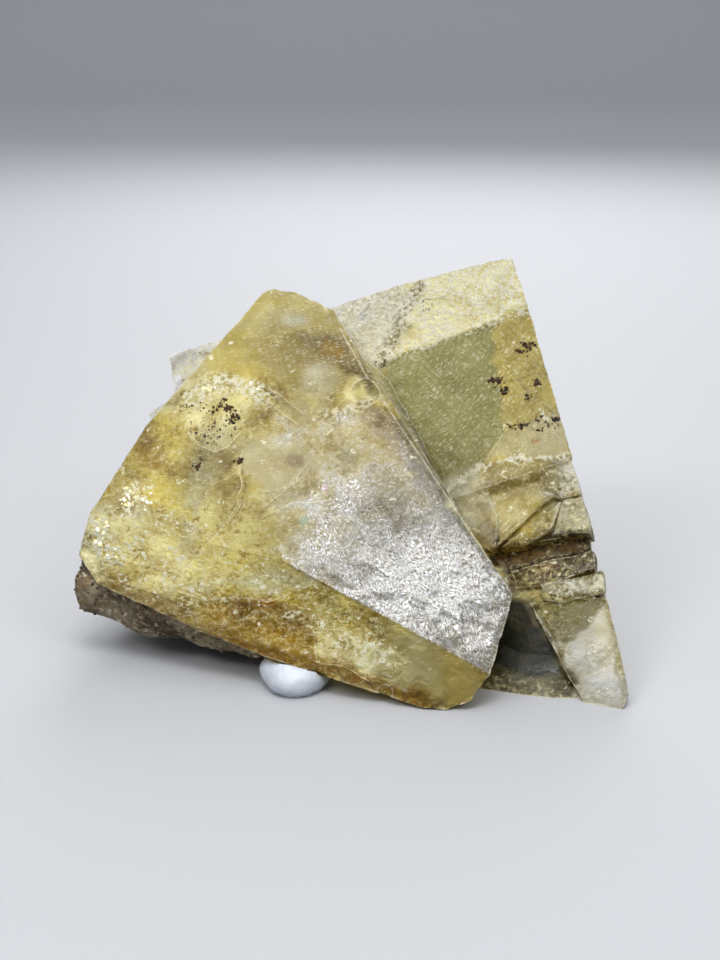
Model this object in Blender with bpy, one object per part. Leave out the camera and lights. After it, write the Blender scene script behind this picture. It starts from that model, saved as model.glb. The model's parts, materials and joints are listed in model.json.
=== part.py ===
"""A fluorite cluster: two large intergrown crystals, smaller cubes behind them, and the broken rock they grew on.

Every fluorite crystal is made from its own flat faces. The two large ones are convex solids whose corners
are given on their cleavage faces, and the small ones are cubes. All of them, with the rough rock below, are
joined in one solid that rests on its flat underside, on the tips of the two large crystals and, at the front
left, on a squashed pad of white putty. Sizes are in millimetres here and the model is in metres.
"""

import math
from dataclasses import dataclass

import bmesh
import bpy
from mathutils import Matrix, Vector, noise

MM = 0.001

# ---------------------------------------------------------------- driving dimensions, millimetres and degrees
GROUND_DEPTH = 30.0  # thickness of the block that cuts the underside flat
WORK_SPAN = 200.0  # wider than anything here
PUTTY_LIFTS = (-0.35, 0.0, 1.5, 3.0)  # the stone's imprint is cut at each height; the first one leaves the gap
MERGE_DISTANCE = 1e-7  # metres, far under any real edge
FLAT_ANGLE = 0.5  # faces nearer in angle than this are one face

ROCK_GRAIN = 3.0  # longest edge on the broken rock
ROCK_RELIEF = 0.9  # how far the broken rock is pushed out and in
ROCK_NOISE_SIZE = 6.0
ROCK_NOISE = (0.8, 2.1, 3)  # each finer layer's share, how much finer it is, and how many there are
ROCK_LEDGE = 0.55  # share of the relief that is in steps, as cleaved fluorite breaks
ROCK_STEPS = 3.0

SHARD_DEPTH = 6.0  # how far a shard's front outline is carried back into the crystal behind it
SHARD_TAPER = 0.9

STEP_HEIGHT = 0.7  # one growth step on a cube's face
STEP_SHRINK = 0.68  # each step's side over that of the one below it
STEP_ROOT = 2.0  # how far a step's box reaches into the crystal that carries it
STEP_OFFSET = (0.35, 0.6)  # where a step lies in the room that its shrinking leaves, from the left and from the top


@dataclass(frozen=True)
class Face:
    """A flat crystal face, with its own axes: right along it, up it, and out of it.

    Args:
        origin: the face's reference corner, in millimetres.
        dip: its angle from the horizontal, in degrees.
        turn: how far it is turned to the left of the front, in degrees.
        roll: the anticlockwise turn of its right axis, in degrees.
    """

    origin: tuple
    dip: float
    turn: float
    roll: float = 0.0

    def axes(self) -> Matrix:
        """The rotation whose columns are the right, up and out axes."""
        lean = Matrix.Rotation(math.radians(self.dip), 3, "X")
        turned = Matrix.Rotation(math.radians(-self.turn), 3, "Z")
        return turned @ lean @ Matrix.Rotation(math.radians(self.roll), 3, "Z")

    def point(self, right: float, up: float, out: float = 0.0) -> Vector:
        """A point given on this face, in millimetres."""
        return Vector(self.origin) + self.axes() @ Vector((right, up, out))


# ---------------------------------------------------------------- the front crystal
FRONT = Face(origin=(19.0, -26.5, 5.0), dip=45.0, turn=0.0)
FRONT_CORNERS = {
    "tip": (0.0, 0.0, 0.0),
    "right corner": (3.5, 11.0, 0.0),
    "right edge, low": (-1.5, 18.0, 0.0),
    "right edge, middle": (-7.0, 27.0, 0.0),
    "right edge, high": (-16.5, 45.5, 0.0),
    "crease, right": (-16.0, 40.0, 0.0),
    "crease, left": (-38.0, 43.0, 0.0),
    "shoulder": (-20.0, 53.0, -0.5),
    "crown, right": (-21.0, 56.5, -1.0),
    "crown, right of middle": (-23.0, 58.0, -1.5),
    "crown, middle": (-27.0, 60.0, -1.5),
    "crown, left of middle": (-30.0, 60.5, -1.5),
    "crown, left": (-31.5, 60.0, -1.5),
    "left edge, high": (-37.5, 51.0, -0.5),
    "left edge, middle": (-47.5, 37.5, -1.0),
    "left edge, low": (-52.0, 29.5, -2.0),
    "knee": (-55.0, 24.0, -2.5),
    "below the knee": (-56.5, 18.5, -4.5),
    "lower left": (-53.5, 14.5, -5.0),
    "ridge, left end": (-27.5, 16.0, 0.0),
    "front edge, left": (-48.0, 12.0, -5.0),
    "front edge, left of middle": (-38.0, 7.0, -4.5),
    "front edge, middle": (-29.5, 3.5, -4.0),
    "front edge, right": (-16.5, -1.0, -3.5),
    "foot, left": (-8.5, -3.7, -3.0),
    "foot": (-5.5, -4.0, -3.0),
    "foot, right": (-2.5, -3.0, -2.0),
    "back, crown left": (-31.0, 63.0, -11.0),
    "back, crown right": (-19.5, 57.5, -12.5),
    "back, left edge": (-53.0, 28.5, -15.0),
    "back, lower left": (-52.0, 19.0, -18.0),
    "back, right": (-0.5, 17.5, -20.0),
    "back, foot": (-8.5, 4.5, -15.0),
}
# shallow shell-shaped chips on its right edge and front edge: right, up, out, radius
FRONT_CHIPS = (
    (-16.2, 42.2, 2.1, 3.1),
    (1.9, 15.2, 1.6, 2.2),
    (-43.5, 9.0, -3.0, 2.0),
    (-23.0, 0.8, -3.0, 1.7),
    (-14.0, -1.9, -2.2, 1.5),
)

# ---------------------------------------------------------------- the right crystal, a slab of a large cube
RIGHT = Face(origin=(36.5, -27.0, 0.0), dip=54.0, turn=20.0)
RIGHT_THICKNESS = 23.0
RIGHT_CORNERS = {
    "apex": (-26.5, 64.0, -1.0),
    "apex, left": (-29.0, 63.5, -1.0),
    "top edge, middle": (-44.0, 58.0, -1.0),
    "top edge, left": (-63.5, 49.0, -1.0),
    "band, left": (-55.0, 38.5, 0.0),
    "band, right": (-22.5, 56.0, 0.0),
    "right edge": (-12.3, 34.0, 0.0),
    "ridge, right": (-13.0, 33.2, 0.0),
    "ridge, middle": (-16.0, 33.3, 0.0),
    "ridge, left": (-25.5, 31.0, 0.0),
    "hidden by the front crystal": (-34.0, 23.0, 0.0),
    "undercut, left": (-27.0, 26.0, -3.5),
    "undercut, right": (-13.0, 30.5, -3.5),
}
RIGHT_BACK_CORNERS = {
    "apex": (-31.5, 61.5),
    "top edge, left": (-58.0, 49.0),
    "left": (-58.0, 36.0),
    "bottom left": (-34.0, 24.0),
    "right edge": (-18.0, 31.0),
}
# the broken lower half of the right crystal, behind its shards
CORES = {
    "right crystal, middle": (
        (-32.0, 33.0, -3.0), (-13.2, 34.0, -2.6), (-8.4, 23.4, -1.4), (-21.0, 19.5, -1.6), (-26.0, 20.0, -3.5),
        (-30.0, 34.0, -22.0), (-19.0, 32.0, -22.5), (-14.0, 22.0, -20.0), (-28.0, 18.0, -20.0),
    ),
    "right crystal, lower": (
        (-24.0, 26.0, -4.2), (-8.6, 24.0, -3.0), (-5.4, 14.0, -2.6), (-1.8, 2.0, -2.5), (-18.0, -2.0, -1.0),
        (-24.0, 14.0, -8.0), (-27.0, 24.0, -20.0), (-15.0, 24.0, -21.0), (-11.0, 10.0, -21.0),
        (-8.0, -6.0, -15.0), (-22.0, -6.0, -15.0),
    ),
}
# the shards: each front outline, on the right face, with how far each corner stands out of it
SHARDS = {
    "brown window": ((-25.0, 31.3, -2.4), (-15.7, 33.0, -2.7), (-14.2, 28.2, -0.9), (-20.7, 19.5, -0.6),
                     (-25.8, 27.0, -1.6)),
    "green window": ((-31.0, 27.5, -1.0), (-25.6, 30.6, -1.2), (-21.4, 24.0, -0.5), (-20.7, 19.2, -0.4),
                     (-25.0, 18.0, -2.2)),
    "upper pale face": ((-15.9, 33.0, -0.9), (-12.4, 33.4, -0.4), (-10.1, 28.7, -0.3), (-12.7, 27.7, -0.4),
                        (-16.6, 28.7, -1.3)),
    "golden chip": ((-20.8, 19.3, -0.3), (-12.8, 27.6, -0.1), (-13.4, 23.2, -0.3), (-17.0, 20.2, -0.6)),
    "right pale face": ((-12.7, 27.7, -0.1), (-10.0, 28.6, 0.0), (-7.8, 23.3, 0.0), (-13.4, 22.4, -0.5)),
    "brown ledge": ((-18.8, 17.0, -2.5), (-7.6, 21.6, -2.1), (-6.6, 18.8, -1.0), (-9.7, 17.0, -0.9),
                    (-13.6, 15.2, -1.4), (-17.4, 14.6, -2.3)),
    "white ledge": ((-13.7, 15.2, -1.1), (-5.6, 18.7, -0.5), (-4.6, 15.2, -0.1), (-11.0, 12.9, -0.1),
                    (-13.4, 13.4, -0.5)),
    "pale wedge": ((-15.0, 12.6, -1.2), (-4.6, 15.0, -0.5), (-2.0, 9.0, 0.0), (0.4, 2.6, 0.0),
                   (0.2, 0.6, 0.0), (-0.6, -0.6, -0.2), (-5.3, 0.2, -0.2), (-9.0, 4.6, 0.0),
                   (-11.0, 8.2, -0.2)),
    "dark recess": ((-20.0, 13.0, -5.0), (-15.4, 12.8, -4.2), (-10.5, 7.5, -2.4), (-5.4, 0.2, -0.9),
                    (-9.0, -1.4, 0.4), (-13.5, -1.6, 0.9), (-20.5, -2.4, 1.4), (-21.0, 5.0, -2.0)),
}
RIGHT_CHIPS = (
    (-11.0, 30.4, 1.1, 1.6),
    (-0.4, 5.6, 1.5, 1.9),
    (-50.0, 56.6, 1.2, 2.6),
    (-36.5, 61.6, 1.0, 2.4),
)

# ---------------------------------------------------------------- where the two large crystals meet
CONTACT_CORNERS = (
    (-20.5, 53.0, -1.6), (-16.6, 45.5, -1.2), (-12.5, 36.5, -1.0), (-7.0, 27.0, -1.4),
    (-18.5, 54.5, -6.0), (-12.8, 46.0, -3.6), (-9.0, 38.0, -3.0), (-4.8, 28.6, -4.2),
    (-24.0, 45.0, -12.0), (-12.0, 27.0, -12.0),
)


@dataclass(frozen=True)
class CubeCrystal:
    """A small cube, grown with stepped faces.

    Args:
        face: its front face, whose origin is that face's top left corner.
        width, height, depth: its sides, in millimetres.
        steps: how many growth steps its back face carries.
    """

    face: Face
    width: float
    height: float
    depth: float
    steps: int = 0


# ---------------------------------------------------------------- smaller crystals
CUBES = {
    "left rear cube": CubeCrystal(Face((-27.6, 18.6, 36.0), 52.0, 22.0, 25.0), 15.0, 13.0, 12.0, 1),
    "left side cube": CubeCrystal(Face((-29.9, 9.8, 29.3), 50.0, 30.0, 50.0), 8.0, 9.0, 8.0),
    "back cube, large": CubeCrystal(Face((-2.0, 19.5, 29.0), 58.0, -12.0, 9.0), 17.0, 17.0, 13.5, 3),
    "back cube, left": CubeCrystal(Face((-17.0, 17.0, 25.0), 64.0, 20.0, -14.0), 14.5, 14.0, 12.0, 2),
    "back cube, low": CubeCrystal(Face((11.0, 19.0, 15.5), 68.0, -26.0, 12.0), 12.5, 12.5, 11.0, 2),
    "back cube, upper": CubeCrystal(Face((-12.0, 20.0, 36.0), 42.0, 8.0, 28.0), 10.5, 10.0, 9.0, 1),
    "back cube, edge": CubeCrystal(Face((14.5, 22.0, 27.5), 47.0, 14.0, -12.0), 9.0, 9.5, 9.0, 1),
    "left foot cube": CubeCrystal(Face((-29.0, 5.0, 17.5), 74.0, 36.0, 8.0), 10.0, 11.5, 9.0, 1),
}
RIGHT_BACK_STEPS = 4
RIGHT_BACK_STEP_SIDE = (19.0, 15.0)
RIGHT_BACK_STEP_CENTRE = (-37.0, 44.0)
RIGHT_BACK_STEP_SHIFT = (1.3, 0.8)  # how far each step's centre lies from that of the one below it
RIGHT_CUBE_ROLL = 22.0  # the large cube's edges over the right face's own axes

# ---------------------------------------------------------------- the broken rock, in world directions
ROCKS = {
    "left underside": (
        (-38.3, -11.3, 12.2), (-38.3, -10.8, 9.6), (-36.8, -10.8, 7.0), (-34.6, -10.8, 5.4), (-29.6, -11.4, 3.6),
        (-24.0, -12.4, 3.2), (-18.2, -14.8, 3.0), (-12.6, -17.4, 3.0), (-5.0, -19.0, 3.0),
        (-37.0, -8.0, 15.0), (-34.0, 4.0, 15.0), (-33.0, 6.0, 8.0), (-20.0, 8.0, 1.6), (-4.0, -6.0, 1.5),
        (-20.0, -8.0, 16.0), (-2.0, -14.0, 10.0), (-24.0, 7.0, 16.0), (-6.0, 2.0, 12.0),
    ),
    "rear base": (
        (-23.0, 2.0, -2.0), (-23.0, 12.0, -2.0), (-12.0, 21.0, -2.0), (8.0, 25.0, -2.0), (22.0, 20.0, -2.0),
        (27.0, 8.0, -2.0), (20.0, -12.0, -2.0), (0.0, -6.0, -2.0),
        (-22.0, 4.0, 13.0), (-21.0, 14.0, 12.0), (-8.0, 22.0, 14.0), (9.0, 24.0, 15.0), (20.0, 18.0, 13.0),
        (24.0, 6.0, 14.0), (10.0, -4.0, 12.0),
    ),
    "saddle": (
        (-27.0, 8.0, 10.0), (-23.0, 11.0, 27.0), (-15.0, 21.0, 30.0), (-6.0, 24.0, 28.0), (10.0, 24.0, 24.0),
        (15.0, 20.0, 12.0), (-10.0, 6.0, 12.0), (10.0, 8.0, 14.0), (-19.0, 18.5, 14.0), (6.0, 12.0, 32.0),
    ),
}

# ---------------------------------------------------------------- the putty pad
PUTTY_CENTRE = (-6.9, -17.6, 1.7)
PUTTY_RADII = (5.3, 7.2, 3.4)

FLUORITE_COLOR = (0.62, 0.50, 0.21, 1.0)
FLUORITE_ROUGHNESS = 0.22
FLUORITE_TRANSMISSION = 0.6
PUTTY_COLOR = (0.86, 0.87, 0.90, 1.0)
PUTTY_ROUGHNESS = 0.45
PUTTY_SEGMENTS = 32
CHIP_SUBDIVISIONS = 2


def clear_scene() -> None:
    """Removes whatever objects the file holds."""
    for thing in list(bpy.data.objects):
        bpy.data.objects.remove(thing, do_unlink=True)


def new_collection(name: str, helper: bool = False) -> bpy.types.Collection:
    """Adds a collection to the scene. One that holds helpers stays out of renders."""
    collection = bpy.data.collections.new(name)
    collection.hide_render = helper
    bpy.context.scene.collection.children.link(collection)
    return collection


def new_material(name: str, color: tuple, roughness: float, transmission: float = 0.0) -> bpy.types.Material:
    """Makes a Principled material."""
    material = bpy.data.materials.new(name)
    material.use_nodes = True
    surface = material.node_tree.nodes["Principled BSDF"]
    surface.inputs["Base Color"].default_value = color
    surface.inputs["Roughness"].default_value = roughness
    surface.inputs["Metallic"].default_value = 0.0
    surface.inputs["Transmission Weight"].default_value = transmission
    return material


def object_of(shape: bmesh.types.BMesh, name: str, collection: bpy.types.Collection) -> bpy.types.Object:
    """Turns a bmesh into a named object, with its faces turned out."""
    bmesh.ops.recalc_face_normals(shape, faces=shape.faces)
    mesh = bpy.data.meshes.new(name)
    shape.to_mesh(mesh)
    shape.free()
    made = bpy.data.objects.new(name, mesh)
    if collection.hide_render:
        made.hide_render = True
        made.display_type = "WIRE"
    collection.objects.link(made)
    return made


def hull_shape(points: list) -> bmesh.types.BMesh:
    """The convex solid around points given in millimetres."""
    shape = bmesh.new()
    for point in points:
        shape.verts.new(Vector(point) * MM)
    bmesh.ops.convex_hull(shape, input=shape.verts)
    inside = [vertex for vertex in shape.verts if not vertex.link_faces]
    bmesh.ops.delete(shape, geom=inside, context="VERTS")
    bmesh.ops.dissolve_limit(
        shape, angle_limit=math.radians(FLAT_ANGLE), verts=shape.verts, edges=shape.edges
    )
    return shape


def ledged(value: float) -> float:
    """A noise value with part of its slope gathered into steps."""
    stepped = round(value * ROCK_STEPS) / ROCK_STEPS
    return value * (1.0 - ROCK_LEDGE) + stepped * ROCK_LEDGE


def roughen(shape: bmesh.types.BMesh) -> None:
    """Divides a solid's faces down to the rock's grain and breaks its surface up into small ledges."""
    bmesh.ops.triangulate(shape, faces=shape.faces)
    long_edges = [edge for edge in shape.edges if edge.calc_length() > ROCK_GRAIN * MM]
    while long_edges:
        bmesh.ops.subdivide_edges(shape, edges=long_edges, cuts=1)
        bmesh.ops.triangulate(shape, faces=shape.faces)
        long_edges = [edge for edge in shape.edges if edge.calc_length() > ROCK_GRAIN * MM]
    shape.normal_update()
    moves = []
    for vertex in shape.verts:
        place = vertex.co / (ROCK_NOISE_SIZE * MM)
        height = ledged(noise.fractal(place, *ROCK_NOISE))
        moves.append(vertex.normal * height * ROCK_RELIEF * MM)
    for vertex, move in zip(shape.verts, moves):
        vertex.co += move


def face_points(face: Face, corners) -> list:
    """Corners given on a face, as points."""
    return [face.point(*corner) for corner in corners]


def shard_points(face: Face, outline: tuple) -> list:
    """A shard's front outline and the same outline carried back, drawn in a little."""
    middle = [sum(corner[axis] for corner in outline) / len(outline) for axis in range(2)]
    points = face_points(face, outline)
    for right, up, out in outline:
        inner_right = middle[0] + (right - middle[0]) * SHARD_TAPER
        inner_up = middle[1] + (up - middle[1]) * SHARD_TAPER
        points.append(face.point(inner_right, inner_up, out - SHARD_DEPTH))
    return points


def box_shape(face: Face, low: Vector, high: Vector) -> bmesh.types.BMesh:
    """A box between two corners given on a face."""
    shape = bmesh.new()
    size = high - low
    centre = (high + low) / 2
    placed = Matrix.Translation(face.point(*centre) * MM) @ face.axes().to_4x4()
    scaled = Matrix.Diagonal((*(size * MM), 1.0))
    bmesh.ops.create_cube(shape, size=1.0, matrix=placed @ scaled)
    return shape


def cube_boxes(cube: CubeCrystal) -> list:
    """A cube crystal's box, and the thinner boxes of the growth steps on its back face."""
    low = Vector((0.0, -cube.height, -cube.depth))
    high = Vector((cube.width, 0.0, 0.0))
    boxes = [(low, high)]
    for step in range(1, cube.steps + 1):
        share = STEP_SHRINK**step
        left = cube.width * (1.0 - share) * STEP_OFFSET[0]
        top = -cube.height * (1.0 - share) * STEP_OFFSET[1]
        step_low = Vector((left, top - cube.height * share, -cube.depth - step * STEP_HEIGHT))
        step_high = Vector((left + cube.width * share, top, STEP_ROOT - cube.depth))
        boxes.append((step_low, step_high))
    return boxes


def right_back_boxes() -> list:
    """The growth steps on the right crystal's back face."""
    boxes = []
    for step in range(1, RIGHT_BACK_STEPS + 1):
        half = Vector(RIGHT_BACK_STEP_SIDE) * STEP_SHRINK ** (step - 1) / 2
        centre = Vector(RIGHT_BACK_STEP_SHIFT) * (step - 1)
        low = Vector((*(centre - half), -step * STEP_HEIGHT))
        high = Vector((*(centre + half), STEP_ROOT))
        boxes.append((low, high))
    return boxes


def crystal_shapes() -> dict:
    """Every solid that the cluster is joined from, by name."""
    front = face_points(FRONT, FRONT_CORNERS.values())
    right = face_points(RIGHT, RIGHT_CORNERS.values())
    right += [RIGHT.point(*corner, -RIGHT_THICKNESS) for corner in RIGHT_BACK_CORNERS.values()]
    shapes = {}
    for name, corners in ROCKS.items():
        shapes[name] = hull_shape(corners)
        roughen(shapes[name])
    shapes["front crystal"] = hull_shape(front)
    shapes["right crystal"] = hull_shape(right)
    shapes["contact"] = hull_shape(face_points(FRONT, CONTACT_CORNERS))
    for name, corners in CORES.items():
        shapes[name] = hull_shape(face_points(RIGHT, corners))
    for name, outline in SHARDS.items():
        shapes[name] = hull_shape(shard_points(RIGHT, outline))
    for name, cube in CUBES.items():
        for step, (low, high) in enumerate(cube_boxes(cube)):
            shapes[f"{name} {step}"] = box_shape(cube.face, low, high)
    middle = RIGHT.point(*RIGHT_BACK_STEP_CENTRE, -RIGHT_THICKNESS)
    back = Face(tuple(middle), RIGHT.dip, RIGHT.turn, RIGHT_CUBE_ROLL)
    for step, (low, high) in enumerate(right_back_boxes()):
        shapes[f"right back step {step}"] = box_shape(back, low, high)
    return shapes


def chip_shape(face: Face, right: float, up: float, out: float, radius: float) -> bmesh.types.BMesh:
    """A low ball whose cut leaves a shell-shaped chip."""
    shape = bmesh.new()
    placed = Matrix.Translation(face.point(right, up, out) * MM)
    bmesh.ops.create_icosphere(shape, subdivisions=CHIP_SUBDIVISIONS, radius=radius * MM, matrix=placed)
    return shape


def chip_shapes() -> list:
    """The balls that chip the two large crystals' edges."""
    chips = [chip_shape(FRONT, *chip) for chip in FRONT_CHIPS]
    return chips + [chip_shape(RIGHT, *chip) for chip in RIGHT_CHIPS]


def combine(target: bpy.types.Object, other: bpy.types.Object, operation: str) -> None:
    """Adds or cuts one object to or from another and keeps the result as the target's mesh.

    The exact solver loses most of this body once its rough surfaces cross, so the manifold one is used.
    """
    modifier = target.modifiers.new(other.name, "BOOLEAN")
    modifier.operation = operation
    modifier.solver = "MANIFOLD"
    modifier.object = other
    bpy.context.view_layer.update()
    evaluated = target.evaluated_get(bpy.context.evaluated_depsgraph_get())
    made = bpy.data.meshes.new_from_object(evaluated)
    target.modifiers.clear()
    target.data = made
    made.name = target.name


def ground_block(helpers: bpy.types.Collection) -> bpy.types.Object:
    """The block below the surface that the cluster stands on."""
    shape = bmesh.new()
    middle = Vector((0.0, 0.0, -GROUND_DEPTH / 2)) * MM
    size = Matrix.Diagonal((WORK_SPAN * MM, WORK_SPAN * MM, GROUND_DEPTH * MM, 1.0))
    bmesh.ops.create_cube(shape, size=1.0, matrix=Matrix.Translation(middle) @ size)
    return object_of(shape, "ground_cutter", helpers)


def outer_skin(shape: bmesh.types.BMesh) -> set:
    """The points of the surface that holds the highest point, which is the one seen from outside."""
    reached = {max(shape.verts, key=lambda vertex: vertex.co.z)}
    edge_of_reach = list(reached)
    while edge_of_reach:
        vertex = edge_of_reach.pop()
        for edge in vertex.link_edges:
            neighbour = edge.other_vert(vertex)
            if neighbour not in reached:
                reached.add(neighbour)
                edge_of_reach.append(neighbour)
    return reached


def clean(thing: bpy.types.Object) -> None:
    """Merges points that a cut left on top of each other and fills the gaps sealed inside the solid."""
    shape = bmesh.new()
    shape.from_mesh(thing.data)
    bmesh.ops.remove_doubles(shape, verts=shape.verts, dist=MERGE_DISTANCE)
    bmesh.ops.triangulate(shape, faces=shape.faces)
    skin = outer_skin(shape)
    sealed = [vertex for vertex in shape.verts if vertex not in skin]
    bmesh.ops.delete(shape, geom=sealed, context="VERTS")
    shape.to_mesh(thing.data)
    shape.free()


def build_cluster(parts: bpy.types.Collection, helpers: bpy.types.Collection) -> bpy.types.Object:
    """Joins every crystal and the rock in one solid and cuts its underside flat."""
    shapes = crystal_shapes()
    cluster = object_of(shapes.pop("rear base"), "fluorite_cluster", parts)
    for name, shape in shapes.items():
        combine(cluster, object_of(shape, name.replace(" ", "_").replace(",", ""), helpers), "UNION")
    for number, shape in enumerate(chip_shapes()):
        combine(cluster, object_of(shape, f"chip_{number + 1}", helpers), "DIFFERENCE")
    combine(cluster, ground_block(helpers), "DIFFERENCE")
    clean(cluster)
    return cluster


def build_putty(
    cluster: bpy.types.Object, parts: bpy.types.Collection, helpers: bpy.types.Collection
) -> bpy.types.Object:
    """A ball of putty squashed flat on the surface, with the stone's underside pressed into it."""
    shape = bmesh.new()
    radii = Vector(PUTTY_RADII) * MM
    placed = Matrix.Translation(Vector(PUTTY_CENTRE) * MM) @ Matrix.Diagonal((*radii, 1.0))
    bmesh.ops.create_uvsphere(
        shape, u_segments=PUTTY_SEGMENTS, v_segments=PUTTY_SEGMENTS // 2, radius=1.0, matrix=placed
    )
    putty = object_of(shape, "putty_pad", parts)
    for lift in PUTTY_LIFTS:
        imprint = bpy.data.objects.new("stone_imprint", cluster.data.copy())
        imprint.data.transform(Matrix.Translation((0.0, 0.0, lift * MM)))
        imprint.hide_render = True
        imprint.display_type = "WIRE"
        helpers.objects.link(imprint)
        combine(putty, imprint, "DIFFERENCE")
    combine(putty, bpy.data.objects["ground_cutter"], "DIFFERENCE")
    clean(putty)
    return putty


def stand_on_origin(things: list) -> None:
    """Moves every mesh so that the whole object's box stands with its bottom centre on the origin."""
    points = [vertex.co for thing in things for vertex in thing.data.vertices]
    low = Vector(min(point[axis] for point in points) for axis in range(3))
    high = Vector(max(point[axis] for point in points) for axis in range(3))
    shift = Matrix.Translation(Vector((-(low.x + high.x) / 2, -(low.y + high.y) / 2, -low.z)))
    for thing in things:
        thing.data.transform(shift)


def main() -> None:
    """Builds the cluster and its putty pad."""
    clear_scene()
    parts = new_collection("fluorite_specimen")
    helpers = new_collection("construction", helper=True)
    cluster = build_cluster(parts, helpers)
    putty = build_putty(cluster, parts, helpers)
    fluorite = new_material("fluorite", FLUORITE_COLOR, FLUORITE_ROUGHNESS, FLUORITE_TRANSMISSION)
    cluster.data.materials.append(fluorite)
    putty.data.materials.append(new_material("white_putty", PUTTY_COLOR, PUTTY_ROUGHNESS))
    stand_on_origin([cluster, putty])


if __name__ == "__main__":
    main()
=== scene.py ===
"""Dresses the fluorite cluster: etched and flaky crystal, broken rock, mineral crumbs and a pad of white putty."""

import json
import logging
import math
from collections.abc import Sequence
from dataclasses import dataclass, field
from enum import Enum

import bmesh
import bpy
import numpy as np
from mathutils import Matrix, Vector, geometry, kdtree

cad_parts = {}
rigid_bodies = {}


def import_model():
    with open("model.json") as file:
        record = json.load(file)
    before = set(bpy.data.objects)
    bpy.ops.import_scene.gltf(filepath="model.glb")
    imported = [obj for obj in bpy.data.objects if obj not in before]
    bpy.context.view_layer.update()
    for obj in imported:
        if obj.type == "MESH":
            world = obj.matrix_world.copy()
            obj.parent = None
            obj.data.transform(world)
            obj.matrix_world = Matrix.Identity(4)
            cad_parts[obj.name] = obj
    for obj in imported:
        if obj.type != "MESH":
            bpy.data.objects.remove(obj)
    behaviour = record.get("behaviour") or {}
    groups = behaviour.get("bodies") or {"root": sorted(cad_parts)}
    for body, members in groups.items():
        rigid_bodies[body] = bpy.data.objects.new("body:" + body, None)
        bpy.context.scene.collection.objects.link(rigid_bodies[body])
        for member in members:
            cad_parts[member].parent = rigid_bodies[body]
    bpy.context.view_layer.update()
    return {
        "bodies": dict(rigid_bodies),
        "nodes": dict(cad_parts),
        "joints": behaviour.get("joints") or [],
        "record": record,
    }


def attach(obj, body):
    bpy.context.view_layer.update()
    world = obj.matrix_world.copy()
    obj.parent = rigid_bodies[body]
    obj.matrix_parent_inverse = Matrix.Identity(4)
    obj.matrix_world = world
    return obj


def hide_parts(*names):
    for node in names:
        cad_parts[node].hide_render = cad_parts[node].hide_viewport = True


LOG = logging.getLogger("fluorite")

MM = 0.001
STAND_SHIFT = (-0.0413, -5.0899, 0.0)  # from the crystals' own measures to the model's frame

FAR = 9.0  # a distance past every reach that is looked at, in millimetres
BEHIND_FACE = (-9.0, -6.0)  # a point leaves a face as it comes this far behind its plane, in millimetres
BEFORE_RIGHT = (2.6, 4.4)  # a point this far before the right face belongs to the front crystal
LEAST_FRONT_SHARE = 0.12  # a facet that leans at least this much to the front gets fine triangles

Outline = Sequence[tuple[float, float]]


# ---------------------------------------------------------------- measures on the stone
@dataclass(frozen=True)
class CrystalFace:
    """A flat crystal face with its own axes: right along it, up it, and out of it, in millimetres.

    Args:
        origin: its reference corner.
        dip: its angle from the horizontal, in degrees.
        turn: how far it is turned to the left of the front, in degrees.
        roll: the anticlockwise turn of its right axis, in degrees.
    """

    origin: tuple[float, float, float]
    dip: float
    turn: float
    roll: float = 0.0

    def axes(self) -> np.ndarray:
        """The matrix whose columns are the right, up and out axes."""
        lean = Matrix.Rotation(math.radians(self.dip), 3, "X")
        turned = Matrix.Rotation(math.radians(-self.turn), 3, "Z")
        return np.array(turned @ lean @ Matrix.Rotation(math.radians(self.roll), 3, "Z"))

    def local(self, points: np.ndarray) -> np.ndarray:
        """Points of the model, in millimetres, as right, up and out on this face."""
        return (points - np.array(self.origin) - np.array(STAND_SHIFT)) @ self.axes()

    def point(self, right: float, up: float, out: float = 0.0) -> np.ndarray:
        """A point given on this face, in millimetres in the model's frame."""
        return np.array(self.origin) + np.array(STAND_SHIFT) + self.axes() @ np.array((right, up, out))


FRONT = CrystalFace(origin=(19.0, -26.5, 5.0), dip=45.0, turn=0.0)
RIGHT = CrystalFace(origin=(36.5, -27.0, 0.0), dip=54.0, turn=20.0)


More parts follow.
